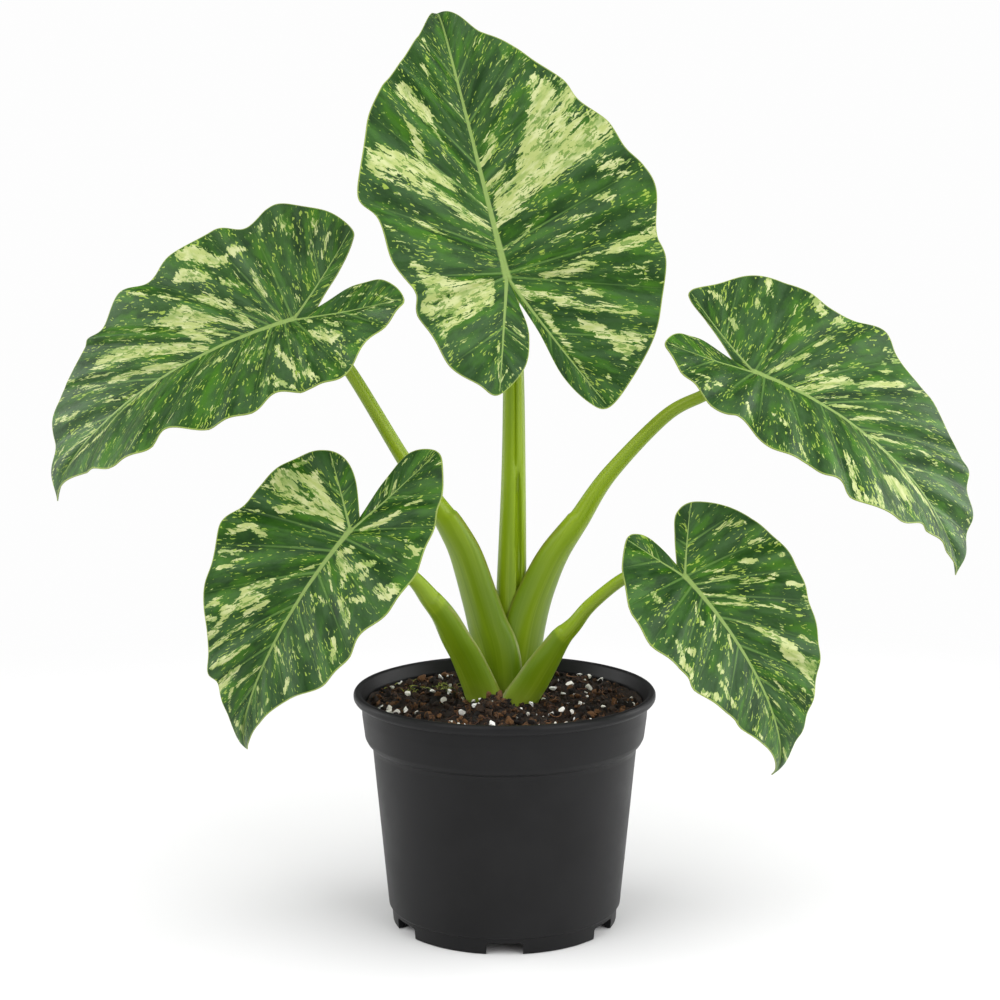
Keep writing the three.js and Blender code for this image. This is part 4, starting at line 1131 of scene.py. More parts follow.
def wing_width(leaf, places, sine):
    """Extra half width of the sheath's edge, which ends in a small step."""
    wing = WING.get(leaf["name"])
    if wing is None:
        return 0
    rise = smooth_step(places, wing["place"] - WING_RISE, wing["place"])
    grown = np.where(places <= wing["place"], WING_STEP * rise, 0)
    return grown[:, None] * smooth_step(wing["side"] * sine, *WING_ARC)[None]


def slit_depth(leaf, heights, sine):
    """How deep the centre stalk's groove and the opening of its sheath are."""
    if leaf["name"] != "top":
        return 0
    share = np.clip((heights - SLIT["foot"]) / (SLIT["head"] - SLIT["foot"]), 0, 1)[:, None]
    edge = SLIT["low"] + (SLIT["high"] - SLIT["low"]) * share
    opened = smooth_step(heights, SLIT["head"], SLIT["head"] - SLIT_OPENS_OVER)[:, None]
    past = sine[None] - edge
    groove = SLIT_GROOVE * np.exp(-((past / SLIT["width"]) ** 2))
    recess = smooth_step(past, *SLIT_NEAR_EDGE) * smooth_step(past, *SLIT_FAR_EDGE)
    return SLIT["depth"] * np.maximum(groove * (1 - opened), recess * opened)


def stalk_points(leaf, swell=0.0):
    """Rings of points, and for each point where it is: across, along and distance from a sheath edge."""
    stalk = leaf["stalk"]
    places, stations, tangents = stalk_frames(stalk["points"])
    outward = carried_outward(tangents, stalk["out"])
    sideways = np.cross(tangents, outward)
    centre, half_width, depth, hollow = stations[:, :3], stations[:, 3], stations[:, 4], stations[:, 5]
    turn = (np.linspace(0, 1, STALK_ARC + 1) - 0.5) * math.pi
    sine, cosine = np.sin(turn), np.cos(turn)
    outer = depth - SHEATH_EDGE / 2
    inner = -outer * (1 - HOLLOW_REACH * np.clip(hollow, 0, 1))
    reach = (half_width + swell)[:, None] * sine[None]
    if not swell:
        reach = reach + wing_width(leaf, places, sine) * np.sign(sine)[None]
    cut = 0 if swell else slit_depth(leaf, centre[:, 2], sine)
    rows = []
    for depth_here, shift, taken in ((outer, 1, cut), (inner, -1, 0)):
        lift = depth_here[:, None] * cosine[None] + shift * (SHEATH_EDGE / 2 + swell) - taken
        aside = sideways[:, None] * reach[..., None]
        rows.append(centre[:, None] + aside + outward[:, None] * lift[..., None])
    points = np.concatenate([rows[0], rows[1][:, ::-1]], axis=1)
    steps = np.linalg.norm(np.diff(centre, axis=0), axis=1)
    height = np.concatenate([[0], np.cumsum(steps)])
    across = half_width[:, None] * turn[None]
    edge = np.hypot(half_width[:, None] * (1 - np.abs(sine)), depth[:, None] * cosine)
    edge = edge + NO_EDGE * smooth_step(hollow, *HOLLOW_ENDS)[:, None]
    where = np.stack([across, np.broadcast_to(height[:, None], across.shape), edge], -1)
    return points, np.concatenate([where, where[:, ::-1]], axis=1)


def fit_under_blade(leaf, piece):
    """Flattens the stalk's head into the underside of its own blade."""
    face, joint = leaf_axes(leaf)[2], np.array(leaf["joint"])
    points = np.empty(3 * len(piece.data.vertices), dtype=np.float32)
    piece.data.vertices.foreach_get("co", points)
    points = points.reshape(-1, 3) / MM
    above = np.maximum((points - joint) @ face + CLEARANCE, 0)
    above = np.where(np.linalg.norm(points - joint, axis=1) < HEAD_REACH, above, 0)
    points -= above[:, None] * face
    piece.data.vertices.foreach_set("co", (points * MM).astype(np.float32).ravel())


def stalk_faces():
    per_ring = 2 * (STALK_ARC + 1)
    faces = ring_faces(STALK_RINGS + 1, per_ring)
    top = STALK_RINGS * per_ring
    for k in range(STALK_ARC):
        inner, after = 2 * STALK_ARC + 1 - k, 2 * STALK_ARC - k
        faces.append((k, inner, after, k + 1))
        faces.append((top + k, top + k + 1, top + after, top + inner))
    return faces


print("stalk section has", 2 * (STALK_ARC + 1), "points and", STALK_RINGS + 1, "rings")

# %% [markdown]
# The stalk's finish
#
# Stalks are a fresh yellow-green with a waxy gloss. Fine darker and paler lines run along them, the
# foot is paler where it has had little light, and the sheath's thin edges are a duller olive. Low on
# the stalk, painted shade darkens each sheath near its edges, where the sheaths overlap.

# %% The stalk material
STALK_PAINTS = {
    "green": paint(132, 158, 18),
    "streak_and_shade": paint(92, 124, 8),
    "light": paint(158, 178, 58),
    "foot": paint(156, 174, 66),
    "edge": paint(126, 130, 48),
}


def stalk_material():
    material, nodes, surface = new_material("leaf_stalk")
    place = nodes.attribute("stem")
    across, height, edge = nodes.parts(place)
    flat = nodes.make("ShaderNodeCombineXYZ", {"X": across, "Y": height}).outputs[0]
    lines = nodes.noise(nodes.vector("MULTIPLY", flat, (0.5, 0.008, 1.0)), 1.0, 3, 0.55)
    bands = nodes.noise(nodes.vector("MULTIPLY", flat, (0.12, 0.006, 1.0)), 1.0, 2, 0.5)
    colours = STALK_PAINTS
    colour = nodes.mix(nodes.ramp(bands, 0.3, 0.6, 0.45, 1.0), colours["streak_and_shade"], colours["green"])
    colour = nodes.mix(nodes.ramp(lines, 0.5, 0.75, 0, 0.55), colour, colours["light"])
    colour = nodes.mix(nodes.ramp(lines, 0.42, 0.25, 0, 0.3), colour, colours["streak_and_shade"])
    # Painted shade: low on the stalk, each sheath is darkened near its edges, where the sheaths overlap.
    painted_overlap_shade = nodes.maths("MULTIPLY", nodes.ramp(edge, 15, 4), nodes.ramp(height, 140, 70))
    colour = nodes.mix(nodes.maths("MULTIPLY", painted_overlap_shade, 0.7), colour, colours["streak_and_shade"])
    colour = nodes.mix(nodes.ramp(height, 42, 12, 0, 0.75), colour, colours["foot"])
    colour = nodes.mix(nodes.ramp(edge, 0.9, 0.2, 0, 0.6), colour, colours["edge"])
    bump = nodes.make("ShaderNodeBump", {"Height": lines, "Strength": 0.35, "Distance": 0.0004})
    rough = nodes.ramp(lines, 0.3, 0.7, 0.3, 0.44)
    wire(nodes, surface, Base_Color=colour, Roughness=rough, Normal=bump.outputs[0])
    surface.inputs["Specular IOR Level"].default_value = 0.35
    return material


STALK = stalk_material()
print("stalk material has", len(STALK.node_tree.nodes), "nodes")

# %% [markdown]
# Nesting the sheaths
#
# Each sheath clasps the stalks inside it, so its shell must not run through them. A boolean cut takes
# the swollen shape of every inner stalk out of the outer one, as in the CAD. The cut makes new points,
# so the values for the material are looked up afterwards from the nearest uncut point.

# %% The stalks, cut clear of each other
def cut_away(piece, cutters):
    """Cuts the cutters out of the piece, and keeps the result as its mesh."""
    for cutter in cutters:
        cut = piece.modifiers.new("cut", "BOOLEAN")
        cut.operation = "DIFFERENCE"
        cut.solver = "MANIFOLD"
        cut.object = cutter
    graph = bpy.context.evaluated_depsgraph_get()
    shaped = bpy.data.meshes.new_from_object(piece.evaluated_get(graph))
    piece.modifiers.clear()
    piece.data = shaped
    shaped.polygons.foreach_set("use_smooth", [True] * len(shaped.polygons))
    shaped.set_sharp_from_angle(angle=SHARP_ANGLE)


def tool_object(name, points, faces):
    """A helper mesh for a cut, with all its faces turned outwards."""
    mesh = bpy.data.meshes.new(name)
    mesh.from_pydata((np.asarray(points) * MM).tolist(), [], [list(map(int, f)) for f in faces])
    shell = bmesh.new()
    shell.from_mesh(mesh)
    bmesh.ops.recalc_face_normals(shell, faces=shell.faces)
    shell.to_mesh(mesh)
    shell.free()
    tool = bpy.data.objects.new(name, mesh)
    bpy.context.collection.objects.link(tool)
    return tool


def drop(tools):
    for tool in tools:
        bpy.data.objects.remove(tool, do_unlink=True)


def values_from_nearest(piece, points, values, name):
    tree = kdtree.KDTree(len(points))
    for i, point in enumerate(points):
        tree.insert(Vector(point * MM), i)
    tree.balance()
    nearest = [tree.find(vertex.co)[1] for vertex in piece.data.vertices]
    put_attribute(piece, name, values[nearest])


def build_stalks():
    faces = stalk_faces()
    clasped, stalks = [], []
    for leaf in LEAVES:
        points, where = stalk_points(leaf)
        points = points.reshape(-1, 3)
        name = f"stalk_{leaf['name']}"
        stalk = new_piece(name, points, faces, STALK, [f"petiole_{leaf['name']}"])
        if clasped:
            cut_away(stalk, clasped)
        values_from_nearest(stalk, points, where.reshape(-1, 3), "stem")
        fit_under_blade(leaf, stalk)
        swollen = stalk_points(leaf, CLEARANCE)[0].reshape(-1, 3)
        clasped.append(tool_object(f"swollen_{leaf['name']}", swollen, faces))
        stalks.append(stalk)
    drop(clasped)
    return stalks


for stalk in build_stalks():
    print(stalk.name, len(stalk.data.polygons), "faces, head at", round(stalk.dimensions.z, 3))

# %% [markdown]
# The pot
#
# A nursery pot is moulded in one piece of thin black plastic: a rolled lip, a tall collar above a
# rounded step, a tapering wall, and a foot ring with six drain notches. A lathe gives everything round,
# and a boolean cuts the notches. Sharp corners are rounded by adding short arcs to the outline.

# %% The pot's outline
POT_RIM_RADIUS = 85
POT_HEIGHT = 133
POT_WALL = 1.8
POT_FLOOR = 6
PAD_RADIUS = 22
PAD_TOP = 2
FOOT_RADIUS = 63.6
NOTCH = {"count": 6, "width": 20, "height": 6.5, "corner": 2.2, "inner_radius": 52}
POT_SIDES = 180
POT_SHARP_ANGLE = math.radians(35)
ROUNDING = 0.55
ROUNDING_STEPS = 3
ROUNDING_SHARE = 0.45
POT_OUTSIDE = [
    (FOOT_RADIUS, 0), (64.3, 8.6), (65.9, 9.8), (74.4, 100), (75.3, 102.6), (77.4, 104.4), (78.7, 107),
    (80.2, 119), (80.5, 126.8), (83.9, 127.4), (POT_RIM_RADIUS, 129), (POT_RIM_RADIUS, 131.2), (84, 132.7),
    (82.6, POT_HEIGHT), (81.2, 132.2),
]
POT_INSIDE = [
    (80.2, 129.5), (78.7, 126), (80.2 - POT_WALL, 119), (78.7 - POT_WALL, 107), (75.4 - POT_WALL, 103.4),
    (72.6, 99), (64.4, 12), (63.2, POT_FLOOR),
]
CHANNEL = {"inner": PAD_RADIUS + 3, "outer": FOOT_RADIUS - 3.2, "z": POT_FLOOR - 2}


def pot_outline():
    underside = [
        (0, 0), (PAD_RADIUS, 0), (CHANNEL["inner"], CHANNEL["z"]), (CHANNEL["outer"] - 0.8, CHANNEL["z"]),
        (CHANNEL["outer"], 0),
    ]
    floor = [(CHANNEL["inner"] - 1, POT_FLOOR), (PAD_RADIUS - 1, PAD_TOP), (0, PAD_TOP)]
    return underside + POT_OUTSIDE + POT_INSIDE + floor


def rounded(outline, reach):
    """The same outline with each inner corner replaced by a short curve."""
    points = np.array(outline, dtype=float)
    smooth = [points[0]]
    for before, corner, after in zip(points, points[1:], points[2:]):
        to_before, to_after = before - corner, after - corner
        near = min(reach, np.hypot(*to_before) * ROUNDING_SHARE, np.hypot(*to_after) * ROUNDING_SHARE)
        start = corner + to_before / np.hypot(*to_before) * near
        end = corner + to_after / np.hypot(*to_after) * near
        for step in range(ROUNDING_STEPS + 1):
            t = step / ROUNDING_STEPS
            smooth.append((1 - t) ** 2 * start + 2 * t * (1 - t) * corner + t * t * end)
    smooth.append(points[-1])
    return np.array(smooth)


def lathe(outline, sides):
    """Points and faces of a round body whose outline starts and ends on the axis."""
    inner = outline[1:-1]
    turn = np.arange(sides) * 2 * math.pi / sides
    circle = np.stack([np.sin(turn), -np.cos(turn)], 1)
    rings = np.concatenate([np.column_stack([r * circle, np.full(sides, z)]) for r, z in inner])
    bottom, top = len(rings), len(rings) + 1
    points = np.concatenate([rings, [[0, 0, outline[0][1]], [0, 0, outline[-1][1]]]])
    faces = ring_faces(len(inner), sides)
    last = (len(inner) - 1) * sides
    for i in range(sides):
        j = (i + 1) % sides
        faces.append((j, i, bottom))
        faces.append((last + i, last + j, top))
    return points, faces


outline = rounded(pot_outline(), ROUNDING)
print("pot outline has", len(outline), "points after rounding")

# %% [markdown]
# The pot's finish
#
# The plastic is charcoal with a satin sheen. Moulding leaves a very fine grain and faint cloudy changes
# in gloss and tone. One fine noise does the first and one broad noise does the second.

# %% The pot material
POT_PAINTS = {"dark": paint(16, 16, 17), "light": paint(22, 22, 23)}


def pot_material():
    material, nodes, surface = new_material("pot_plastic")
    place = nodes.make("ShaderNodeTexCoord").outputs["Object"]
    clouds = nodes.noise(place, 28.0, 4, 0.6)
    grain = nodes.noise(place, 1600.0, 2, 0.5)
    colour = nodes.mix(nodes.ramp(clouds, 0.3, 0.7), POT_PAINTS["dark"], POT_PAINTS["light"])
    uneven = nodes.maths("SUBTRACT", grain, 0.5)
    rough = nodes.maths("MULTIPLY_ADD", uneven, 0.12, nodes.ramp(clouds, 0.3, 0.7, 0.4, 0.5))
    bump = nodes.make("ShaderNodeBump", {"Height": grain, "Strength": 0.18, "Distance": 0.0002})
    wire(nodes, surface, Base_Color=colour, Roughness=rough, Normal=bump.outputs[0])
    surface.inputs["Specular IOR Level"].default_value = 0.2
    return material


POT = pot_material()
print("pot material has", len(POT.node_tree.nodes), "nodes")

# %% [markdown]
# The pot's body
#
# The outline is turned round the axis, and six blocks with rounded upper corners are cut out of the foot
# ring, so that water can run out. Cutting keeps the wall's thickness right on both sides of a notch.

# %% The pot and its notches
def notch_points(azimuth):
    """A block with rounded upper corners that runs out through the foot ring."""
    half, corner, high = NOTCH["width"] / 2, NOTCH["corner"], NOTCH["height"]
    arc = [math.radians(a) for a in range(0, 91, 15)]
    right = [(half - corner + corner * math.cos(a), high - corner + corner * math.sin(a)) for a in arc]
    left = [(-x, z) for x, z in reversed(right)]
    section = [(half, -1), *right, *left, (-half, -1)]
    turn = math.radians(azimuth)
    out, side = (math.sin(turn), -math.cos(turn)), (math.cos(turn), math.sin(turn))
    near, far = NOTCH["inner_radius"], POT_RIM_RADIUS
    points = [
        (r * out[0] + x * side[0], r * out[1] + x * side[1], z) for r in (near, far) for x, z in section
    ]
    count = len(section)
    faces = [tuple(range(count - 1, -1, -1)), tuple(range(count, 2 * count))]
    faces += [(i, (i + 1) % count, count + (i + 1) % count, count + i) for i in range(count)]
    return points, [face[::-1] for face in faces]


points, faces = lathe(outline, POT_SIDES)
pot = new_piece("nursery_pot", points, faces, POT, ["pot"], sharp=POT_SHARP_ANGLE)
notches = [tool_object(f"notch_{i}", *notch_points(i * 360 / NOTCH["count"])) for i in range(NOTCH["count"])]
cut_away(pot, notches)
drop(notches)
print("pot has", len(pot.data.polygons), "faces")

# %% [markdown]
# The soil
#
# The pot is filled with a peaty mix to just under the lip. Its surface is a heap of crumbs. Displacing
# one sheet gives the ground between them, and loose crumbs laid on it give the shadows and the ragged
# edge. The sheet closes down the inside of the pot, so the soil is a solid body like the real thing.

# %% The soil's surface
GAP = 0.3
SOIL_EDGE_Z = 124
SOIL_LIFT = 0.8
SOIL_MOUND = 2
SOIL_MOUND_REACH = 42
SOIL_LUMPS = 0.7
SOIL_CENTRE_Y = 4
SOIL_EDGE_RADIUS = 78.4 - GAP
HEAP = {"x": -7, "y": -31, "radius": 11, "height": 8.5}
SOIL_RINGS = 84
SOIL_SIDES = 200
CRUMBLE = {"coarse": 3.1, "fine": 1.1}
CRUMBLE_SCALES = {"coarse": 0.16, "cells": 0.42, "fine": 0.7}
CRUMBLE_MIX = {"coarse": 0.7, "cells": 0.55, "lift": 0.1}


def soil_height(x, y):
    """Height of the ground before it is crumbled: a mound, a heap in front, and low lumps."""
    r = np.hypot(x, y - SOIL_CENTRE_Y)
    mound = SOIL_MOUND * np.exp(-((r / SOIL_MOUND_REACH) ** 2))
    heap = HEAP["height"] * np.exp(-((x - HEAP["x"]) ** 2 + (y - HEAP["y"]) ** 2) / HEAP["radius"] ** 2)
    lumps = np.sin(x * 0.21 + 1.3) * np.cos(y * 0.19 - 0.4) + 0.7 * np.sin(x * 0.47 - y * 0.39)
    return SOIL_EDGE_Z + SOIL_LIFT + mound + heap + SOIL_LUMPS * lumps


def crumble(x, y):
    """Uneven height of the broken surface, in millimetres."""
    place = Vector((x, y, 0))
    coarse = noise.fractal(place * CRUMBLE_SCALES["coarse"], 1.0, 2.1, 3)
    cells = noise.voronoi(place * CRUMBLE_SCALES["cells"])[0][0]
    fine = noise.fractal(place * CRUMBLE_SCALES["fine"], 1.0, 2.0, 2)
    broken = coarse * CRUMBLE_MIX["coarse"] - cells * CRUMBLE_MIX["cells"] + CRUMBLE_MIX["lift"]
    return CRUMBLE["coarse"] * broken + CRUMBLE["fine"] * fine


def soil_points():
    inside = [point for point in POT_INSIDE if point[1] < SOIL_EDGE_Z - 2]
    below = [(SOIL_EDGE_RADIUS, SOIL_EDGE_Z - 1.5)] + [(r - GAP, z) for r, z in inside]
    below[-1] = (below[-1][0], POT_FLOOR + GAP)
    below += [(CHANNEL["inner"] - 1.2, POT_FLOOR + GAP), (PAD_RADIUS - 1.2, PAD_TOP + GAP)]
    turn = np.arange(SOIL_SIDES) * 2 * math.pi / SOIL_SIDES
    circle = np.stack([np.sin(turn), -np.cos(turn)], 1)
    rings = [np.column_stack([r * circle, np.full(SOIL_SIDES, z)]) for r, z in reversed(below)]
    for share in np.linspace(1, 0, SOIL_RINGS + 1)[:-1]:
        flat = SOIL_EDGE_RADIUS * share**0.85 * circle
        height = soil_height(flat[:, 0], flat[:, 1])
        rough = np.array([crumble(x, y) for x, y in flat])
        rings.append(np.column_stack([flat, height + rough * smooth_step(share, 1.0, 0.97)]))
    return np.concatenate(rings), len(rings)


def build_soil(material):
    points, rings = soil_points()
    faces = ring_faces(rings, SOIL_SIDES)
    points = np.concatenate([points, [[0, 0, PAD_TOP + GAP], [0, 0, soil_height(0, 0)]]])
    bottom, top, last = len(points) - 2, len(points) - 1, (rings - 1) * SOIL_SIDES
    for i in range(SOIL_SIDES):
        j = (i + 1) % SOIL_SIDES
        faces.append((j, i, bottom))
        faces.append((last + i, last + j, top))
    return new_piece("soil_bed", points, faces, material, ["soil"])


print("soil stands", SOIL_EDGE_Z, "mm high in a pot of", POT_HEIGHT)

# %% [markdown]
# Finishes in the soil
#
# Wet peat is nearly black on the ground sheet, which keeps one low tint, and warm brown on the
# crumbs, with reddish bark here and there.
# Perlite is white, light and full of pores. Each crumb and grain keeps a random tint on its points, so
# one material gives every one a colour of its own.

# %% Soil, perlite, fibre and moss materials
def grainy_material(name, paints, scale, roughness, bump_depth):
    """A matt material: three colours chosen by a tint stored on the mesh and broken up by noise."""
    material, nodes, surface = new_material(name)
    place = nodes.make("ShaderNodeTexCoord").outputs["Object"]
    speckle = nodes.noise(place, scale, 5, 0.65)
    tint = nodes.parts(nodes.attribute("tint"))[0]
    mixed = nodes.maths("MULTIPLY_ADD", nodes.maths("SUBTRACT", speckle, 0.5), 1.4, tint)
    colour = nodes.mix(nodes.ramp(mixed, 0.15, 0.55), paints[0], paints[1])
    colour = nodes.mix(nodes.ramp(mixed, 0.62, 0.95), colour, paints[2])
    rough = nodes.ramp(speckle, 0.3, 0.7, roughness - 0.08, roughness + 0.05)
    bump = nodes.make("ShaderNodeBump", {"Height": speckle, "Strength": 0.8, "Distance": bump_depth})
    wire(nodes, surface, Base_Color=colour, Roughness=rough, Normal=bump.outputs[0])
    return material


SOIL = grainy_material(
    "potting_soil", (paint(17, 10, 5), paint(50, 32, 17), paint(104, 70, 38)), 900.0, 0.92, 0.001
)
PERLITE = grainy_material(
    "perlite", (paint(224, 220, 208), paint(246, 243, 235), paint(252, 251, 248)), 1400.0, 0.85, 0.0005
)
FIBRE = grainy_material(
    "bark_fibre", (paint(50, 30, 18), paint(86, 52, 30), paint(128, 88, 54)), 1200.0, 0.85, 0.0003
)
MOSS = grainy_material(
    "moss_thread", (paint(70, 80, 24), paint(128, 138, 44), paint(168, 172, 82)), 1200.0, 0.8, 0.0003
)
print("soil finishes ready")

# %% [markdown]
# Crumbs and grains
#
# Loose bits could be instances of one object, but each real one has its own shape. Here every bit is a
# small ball of points, pushed in and out at random, chipped flat in places, squashed and turned, and its
# middle stands a little over the ground. All bits of one kind are one mesh, made in one pass with a
# seeded random generator. Part of the crumbs is strewn round the heap.

# %% Scattering loose bits
def icosphere(level):
    ball = bmesh.new()
    bmesh.ops.create_icosphere(ball, subdivisions=level, radius=1)
    points = np.array([v.co[:] for v in ball.verts])
    faces = np.array([[v.index for v in face.verts] for face in ball.faces])
    ball.free()
    return points, faces


def random_turn(random):
    """A random rotation matrix."""
    q = random.normal(size=4)
    w, x, y, z = q / np.linalg.norm(q)
    return np.array([
        [1 - 2 * (y * y + z * z), 2 * (x * y - z * w), 2 * (x * z + y * w)],
        [2 * (x * y + z * w), 1 - 2 * (x * x + z * z), 2 * (y * z - x * w)],
        [2 * (x * z - y * w), 2 * (y * z + x * w), 1 - 2 * (x * x + y * y)],
    ])


CHIPS = 14
CHIP_DEPTH = (0.3, 0.8)


def chipped(shape, random):
    """Flattens a ball of points against a few random planes, so that it looks broken off."""
    for _ in range(CHIPS):
        plane = random.normal(size=3)
        plane /= np.linalg.norm(plane)
        past = np.maximum(shape @ plane - random.uniform(*CHIP_DEPTH), 0)
        shape = shape - past[:, None] * plane
    return shape


STALK_KEEP_OUT = 17.0
STALK_CENTRE = (0.0, 1.0)
HEAP_SPREAD = 8.0
SMALL_ONES = 2.6
NARROWED = (0.6, 1)
WALL_MARGIN = 1.2


def place_on_soil(random, margin, heaped=0.0):
    """A random place on the soil that is clear of the pot's wall and of the stalks."""
    while True:
        radius = (SOIL_EDGE_RADIUS - margin) * math.sqrt(random.random())
        turn = random.random() * 2 * math.pi
        x, y = radius * math.sin(turn), radius * math.cos(turn)
        if random.random() < heaped:
            x = HEAP["x"] + HEAP_SPREAD * random.normal()
            y = HEAP["y"] + HEAP_SPREAD * random.normal()
        if math.hypot(x - STALK_CENTRE[0], y - STALK_CENTRE[1]) > STALK_KEEP_OUT:
            return x, y


def scatter(name, count, sizes, roughen, squash, rise, material, seed, level, heaped=0.0):
    """Lays bits on the soil. Sizes gives the smallest and largest radius; small ones are commoner.

    A bit's middle stands over the ground by rise, counted in its own radius.
    """
    random = np.random.default_rng(seed)
    ball, ball_faces = icosphere(level)
    points, faces, tints = [], [], []
    for number in range(count):
        size = sizes[0] + (sizes[1] - sizes[0]) * random.random() ** SMALL_ONES
        x, y = place_on_soil(random, size * WALL_MARGIN, heaped)
        shape = ball * (1 + roughen * random.normal(size=(len(ball), 1)))
        shape = chipped(shape, random)
        shape = shape * [1, random.uniform(*NARROWED), random.uniform(*squash)]
        shape = size * shape @ random_turn(random)
        ground = soil_height(x, y) + crumble(x, y)
        points.append(shape + [x, y, ground + size * rise])
        faces.append(ball_faces + number * len(ball))
        tints.append(np.full(len(ball), random.random()))
    piece = new_piece(name, np.concatenate(points), np.concatenate(faces).tolist(), material)
    put_attribute(piece, "tint", np.concatenate(tints))
    print(name, count, "bits,", len(piece.data.polygons), "faces")


bed = build_soil(SOIL)
# The ground sheet keeps one low tint, so it is darker than most crumbs.
put_attribute(bed, "tint", np.full(len(bed.data.vertices), 0.32))
scatter("soil_crumbs", 2350, (0.8, 4.0), 0.12, (0.55, 0.95), 0.25, SOIL, 11, 2, 0.11)
scatter("perlite_grains", 140, (1.4, 3.3), 0.05, (0.5, 0.8), 0.7, PERLITE, 31, 3)

# %% [markdown]
# Fibres and moss
#
# Shreds of bark and a few moss threads lie over the crumbs. Each is a thin tube along a short curve that
# follows the ground. Curve objects could be used, but tubes made in code stay one closed mesh per kind.

# %% Threads lying on the soil
THREAD_SIDES = 6
THREAD_STEPS = 9
THREAD_BEND = 1.4
THREAD_TILT = (0.0, 0.5)
THREAD_CLEAR = 0.5
THREAD_WAVE = 0.3
THREAD_WAVE_TURN = 9
THREAD_FLATNESS = 0.6
THREAD_ENDS = 0.25


def thread(random, x, y, length, thickness):
    """Points and faces of one bent thread that gets thinner towards both ends."""
    heading = random.random() * 2 * math.pi
    bend = random.normal() * THREAD_BEND
    tilt = random.uniform(*THREAD_TILT)
    path = []
    for step in range(THREAD_STEPS + 1):
        t = step / THREAD_STEPS - 0.5
        turn = heading + bend * t
        px, py = x + length * t * math.cos(turn), y + length * t * math.sin(turn)
        wave = THREAD_WAVE * math.sin(THREAD_WAVE_TURN * t + heading)
        lift = THREAD_CLEAR + thickness + tilt * length * abs(t) * 0.5 + wave
        path.append((px, py, soil_height(px, py) + THREAD_CLEAR + lift))
    path = np.array(path)
    tangent = np.gradient(path, axis=0)
    tangent /= np.linalg.norm(tangent, axis=1)[:, None]
    aside = np.cross(tangent, [0, 0, 1])
    aside /= np.linalg.norm(aside, axis=1)[:, None]
    above = np.cross(aside, tangent)
    turn = np.arange(THREAD_SIDES) * 2 * math.pi / THREAD_SIDES
    bulge = np.sin(np.linspace(0.05, 0.95, THREAD_STEPS + 1) * math.pi)
    taper = thickness * (THREAD_ENDS + (1 - THREAD_ENDS) * bulge)
    upward = THREAD_FLATNESS * above[:, None] * np.sin(turn)[None, :, None]
    ring = aside[:, None] * np.cos(turn)[None, :, None] + upward
    points = (path[:, None] + ring * taper[:, None, None]).reshape(-1, 3)
    faces = ring_faces(THREAD_STEPS + 1, THREAD_SIDES)
    faces = [face[::-1] for face in faces]
    end = THREAD_STEPS * THREAD_SIDES
    faces.append(tuple(range(THREAD_SIDES)))
    faces.append(tuple(range(end + THREAD_SIDES - 1, end - 1, -1)))
    return points, faces


def lay_threads(name, count, lengths, thicknesses, material, seed, centre=None, spread=0.0):
    random = np.random.default_rng(seed)
    points, faces, tints = [], [], []
    total = 0
    for _ in range(count):
        length = random.uniform(*lengths)
        if centre is None:
            x, y = place_on_soil(random, length * 0.6)
        else:
            x, y = centre[0] + spread * random.normal(), centre[1] + spread * random.normal() * 0.6
        bit_points, bit_faces = thread(random, x, y, length, random.uniform(*thicknesses))
        points.append(bit_points)
        faces += [tuple(total + k for k in face) for face in bit_faces]
        tints.append(np.full(len(bit_points), random.random()))
        total += len(bit_points)
    piece = new_piece(name, np.concatenate(points), faces, material)
    put_attribute(piece, "tint", np.concatenate(tints))
    print(name, count, "threads")


MOSS_CENTRE = (-39.0, 26.0)
lay_threads("bark_fibres", 90, (4, 12), (0.15, 0.4), FIBRE, 41)
lay_threads("moss_threads", 46, (3, 9), (0.2, 0.4), MOSS, 43, MOSS_CENTRE, 11.0)

# %% [markdown]
# The corm
#
# Under the soil the sheaths grow from a short stout stem. Nobody sees it, and its CAD solid has the
# right shape, so the solid stays and only gets a better finish: brown papery skin in rings.

# %% The corm material
CORM_PAINTS = {"dark": paint(92, 66, 40), "light": paint(164, 128, 84)}


def corm_material():
    material, nodes, surface = new_material("corm")
    place = nodes.make("ShaderNodeTexCoord").outputs["Object"]
    stretched = nodes.vector("MULTIPLY", place, (60.0, 60.0, 600.0))
    rings = nodes.noise(stretched, 1.0, 4, 0.6)
    colour = nodes.mix(nodes.ramp(rings, 0.35, 0.65), CORM_PAINTS["dark"], CORM_PAINTS["light"])
    bump = nodes.make("ShaderNodeBump", {"Height": rings, "Strength": 0.6, "Distance": 0.001})
    rough = nodes.ramp(rings, 0.3, 0.7, 0.7, 0.85)
    wire(nodes, surface, Base_Color=colour, Roughness=rough, Normal=bump.outputs[0])
    return material


corm = bpy.data.objects["corm"]
corm.data.materials.clear()
corm.data.materials.append(corm_material())
print("corm keeps its solid, with", len(corm.data.polygons), "faces")

# %% [markdown]
# Floor and light
#
# The plant stands on a white sweep in soft light from all sides. The world gives an even base, and five
# large area lamps add the soft sheen on pot and stalks and the faint shadows beside the pot.

# %% Stage and lamps
FLOOR_SIZE = 12.0
FLOOR_DROP = 0.0002
FLOOR_GLOW = 0.985
FLOOR_FADE = (0.42, 0.85)
FLOOR_PAINTS = (paint(222, 222, 222), paint(225, 225, 225))


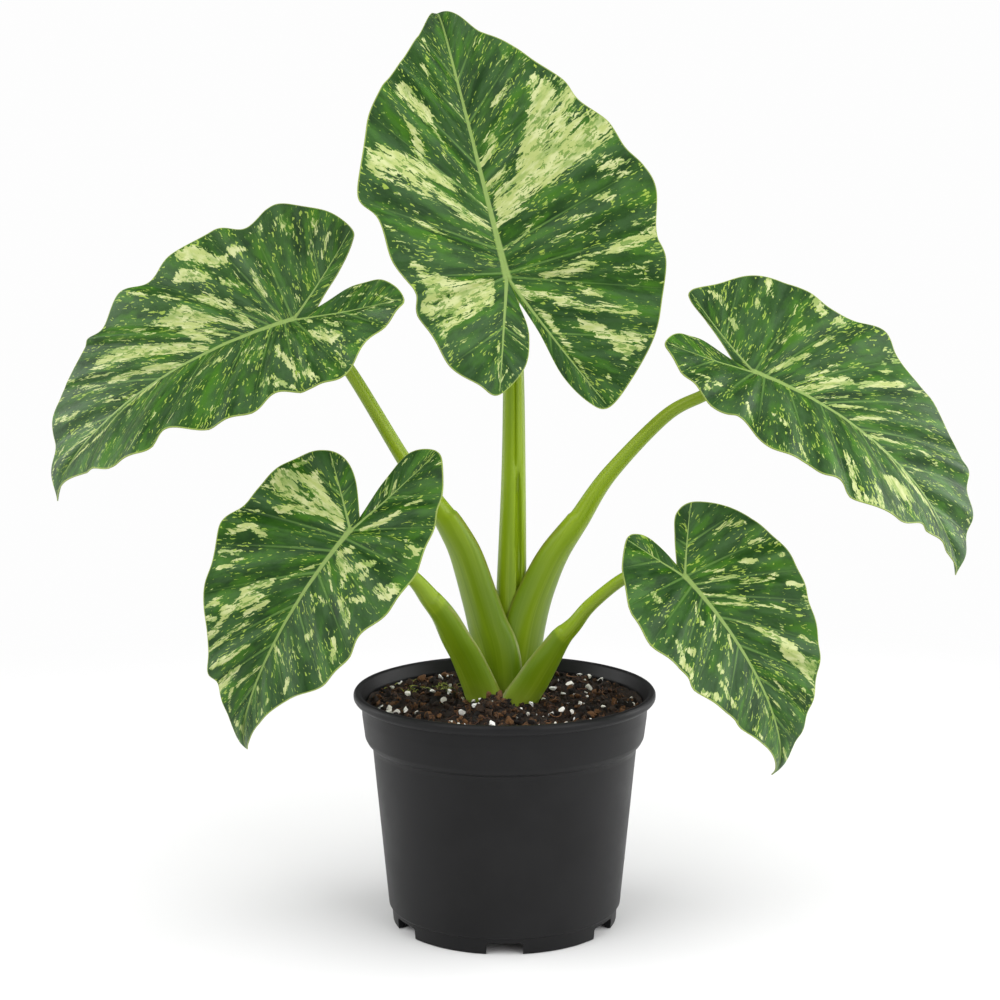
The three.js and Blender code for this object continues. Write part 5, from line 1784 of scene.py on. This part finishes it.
def floor_material():
    """White paper that passes into an evenly lit white further out, as a studio sweep does."""
    material, nodes, surface = new_material("pale_floor")
    place = nodes.make("ShaderNodeTexCoord").outputs["Object"]
    tone = nodes.noise(place, 3.0, 2, 0.5)
    wire(nodes, surface, Base_Color=nodes.mix(tone, *FLOOR_PAINTS))
    surface.inputs["Roughness"].default_value = 0.9
    surface.inputs["Specular IOR Level"].default_value = 0.1
    glow = nodes.make("ShaderNodeEmission", {"Strength": FLOOR_GLOW}).outputs[0]
    away = nodes.make("ShaderNodeVectorMath", {0: place}, operation="LENGTH").outputs["Value"]
    blend = nodes.make("ShaderNodeMixShader", {0: nodes.ramp(away, *FLOOR_FADE), 2: glow})
    nodes.tree.links.new(surface.outputs[0], blend.inputs[1])
    nodes.tree.links.new(blend.outputs[0], nodes.tree.nodes["Material Output"].inputs[0])
    return material


half = FLOOR_SIZE / 2
floor_mesh = bpy.data.meshes.new("floor")
floor_square = ((-half, -half), (half, -half), (half, half), (-half, half))
floor_corners = [(x, y, -FLOOR_DROP) for x, y in floor_square]
floor_mesh.from_pydata(floor_corners, [], [(0, 1, 2, 3)])
floor_mesh.materials.append(floor_material())
floor = bpy.data.objects.new("floor", floor_mesh)
bpy.context.collection.objects.link(floor)


def lamp(name, place, aim, size, power):
    """A square soft lamp at a place, turned towards another."""
    light = bpy.data.lights.new(name, "AREA")
    light.size = size
    light.energy = power
    lamp_object = bpy.data.objects.new(name, light)
    lamp_object.location = place
    lamp_object.rotation_euler = (Vector(aim) - Vector(place)).to_track_quat("-Z", "Y").to_euler()
    bpy.context.collection.objects.link(lamp_object)


AIM = (0, 0, 0.25)
SKY = {"seen": 0.985, "light": 0.5, "mirrored": 0.2}
lamp("key_lamp", (-1.3, -1.4, 1.7), AIM, 1.9, 30)
lamp("fill_lamp", (1.6, -1.3, 1.0), AIM, 1.9, 34)
lamp("top_lamp", (0.2, -0.1, 2.0), AIM, 2.2, 18)
lamp("left_strip", (-1.5, 0.25, 0.5), AIM, 1.2, 16)
lamp("right_strip", (1.5, 0.3, 0.5), AIM, 1.3, 21)

world = bpy.data.worlds.new("studio")
bpy.context.scene.world = world
world.use_nodes = True
sky = Nodes(world.node_tree)
path = sky.make("ShaderNodeLightPath").outputs
glow = sky.maths("MULTIPLY_ADD", path["Is Camera Ray"], SKY["seen"] - SKY["light"], SKY["light"])
glow = sky.maths("MULTIPLY_ADD", path["Is Glossy Ray"], SKY["mirrored"] - SKY["light"], glow)
sky.tree.links.new(glow, world.node_tree.nodes["Background"].inputs["Strength"])
world.node_tree.nodes["Background"].inputs["Color"].default_value = (1, 1, 1, 1)
bpy.context.scene.view_settings.view_transform = "Standard"
print("five lamps and a bright world")
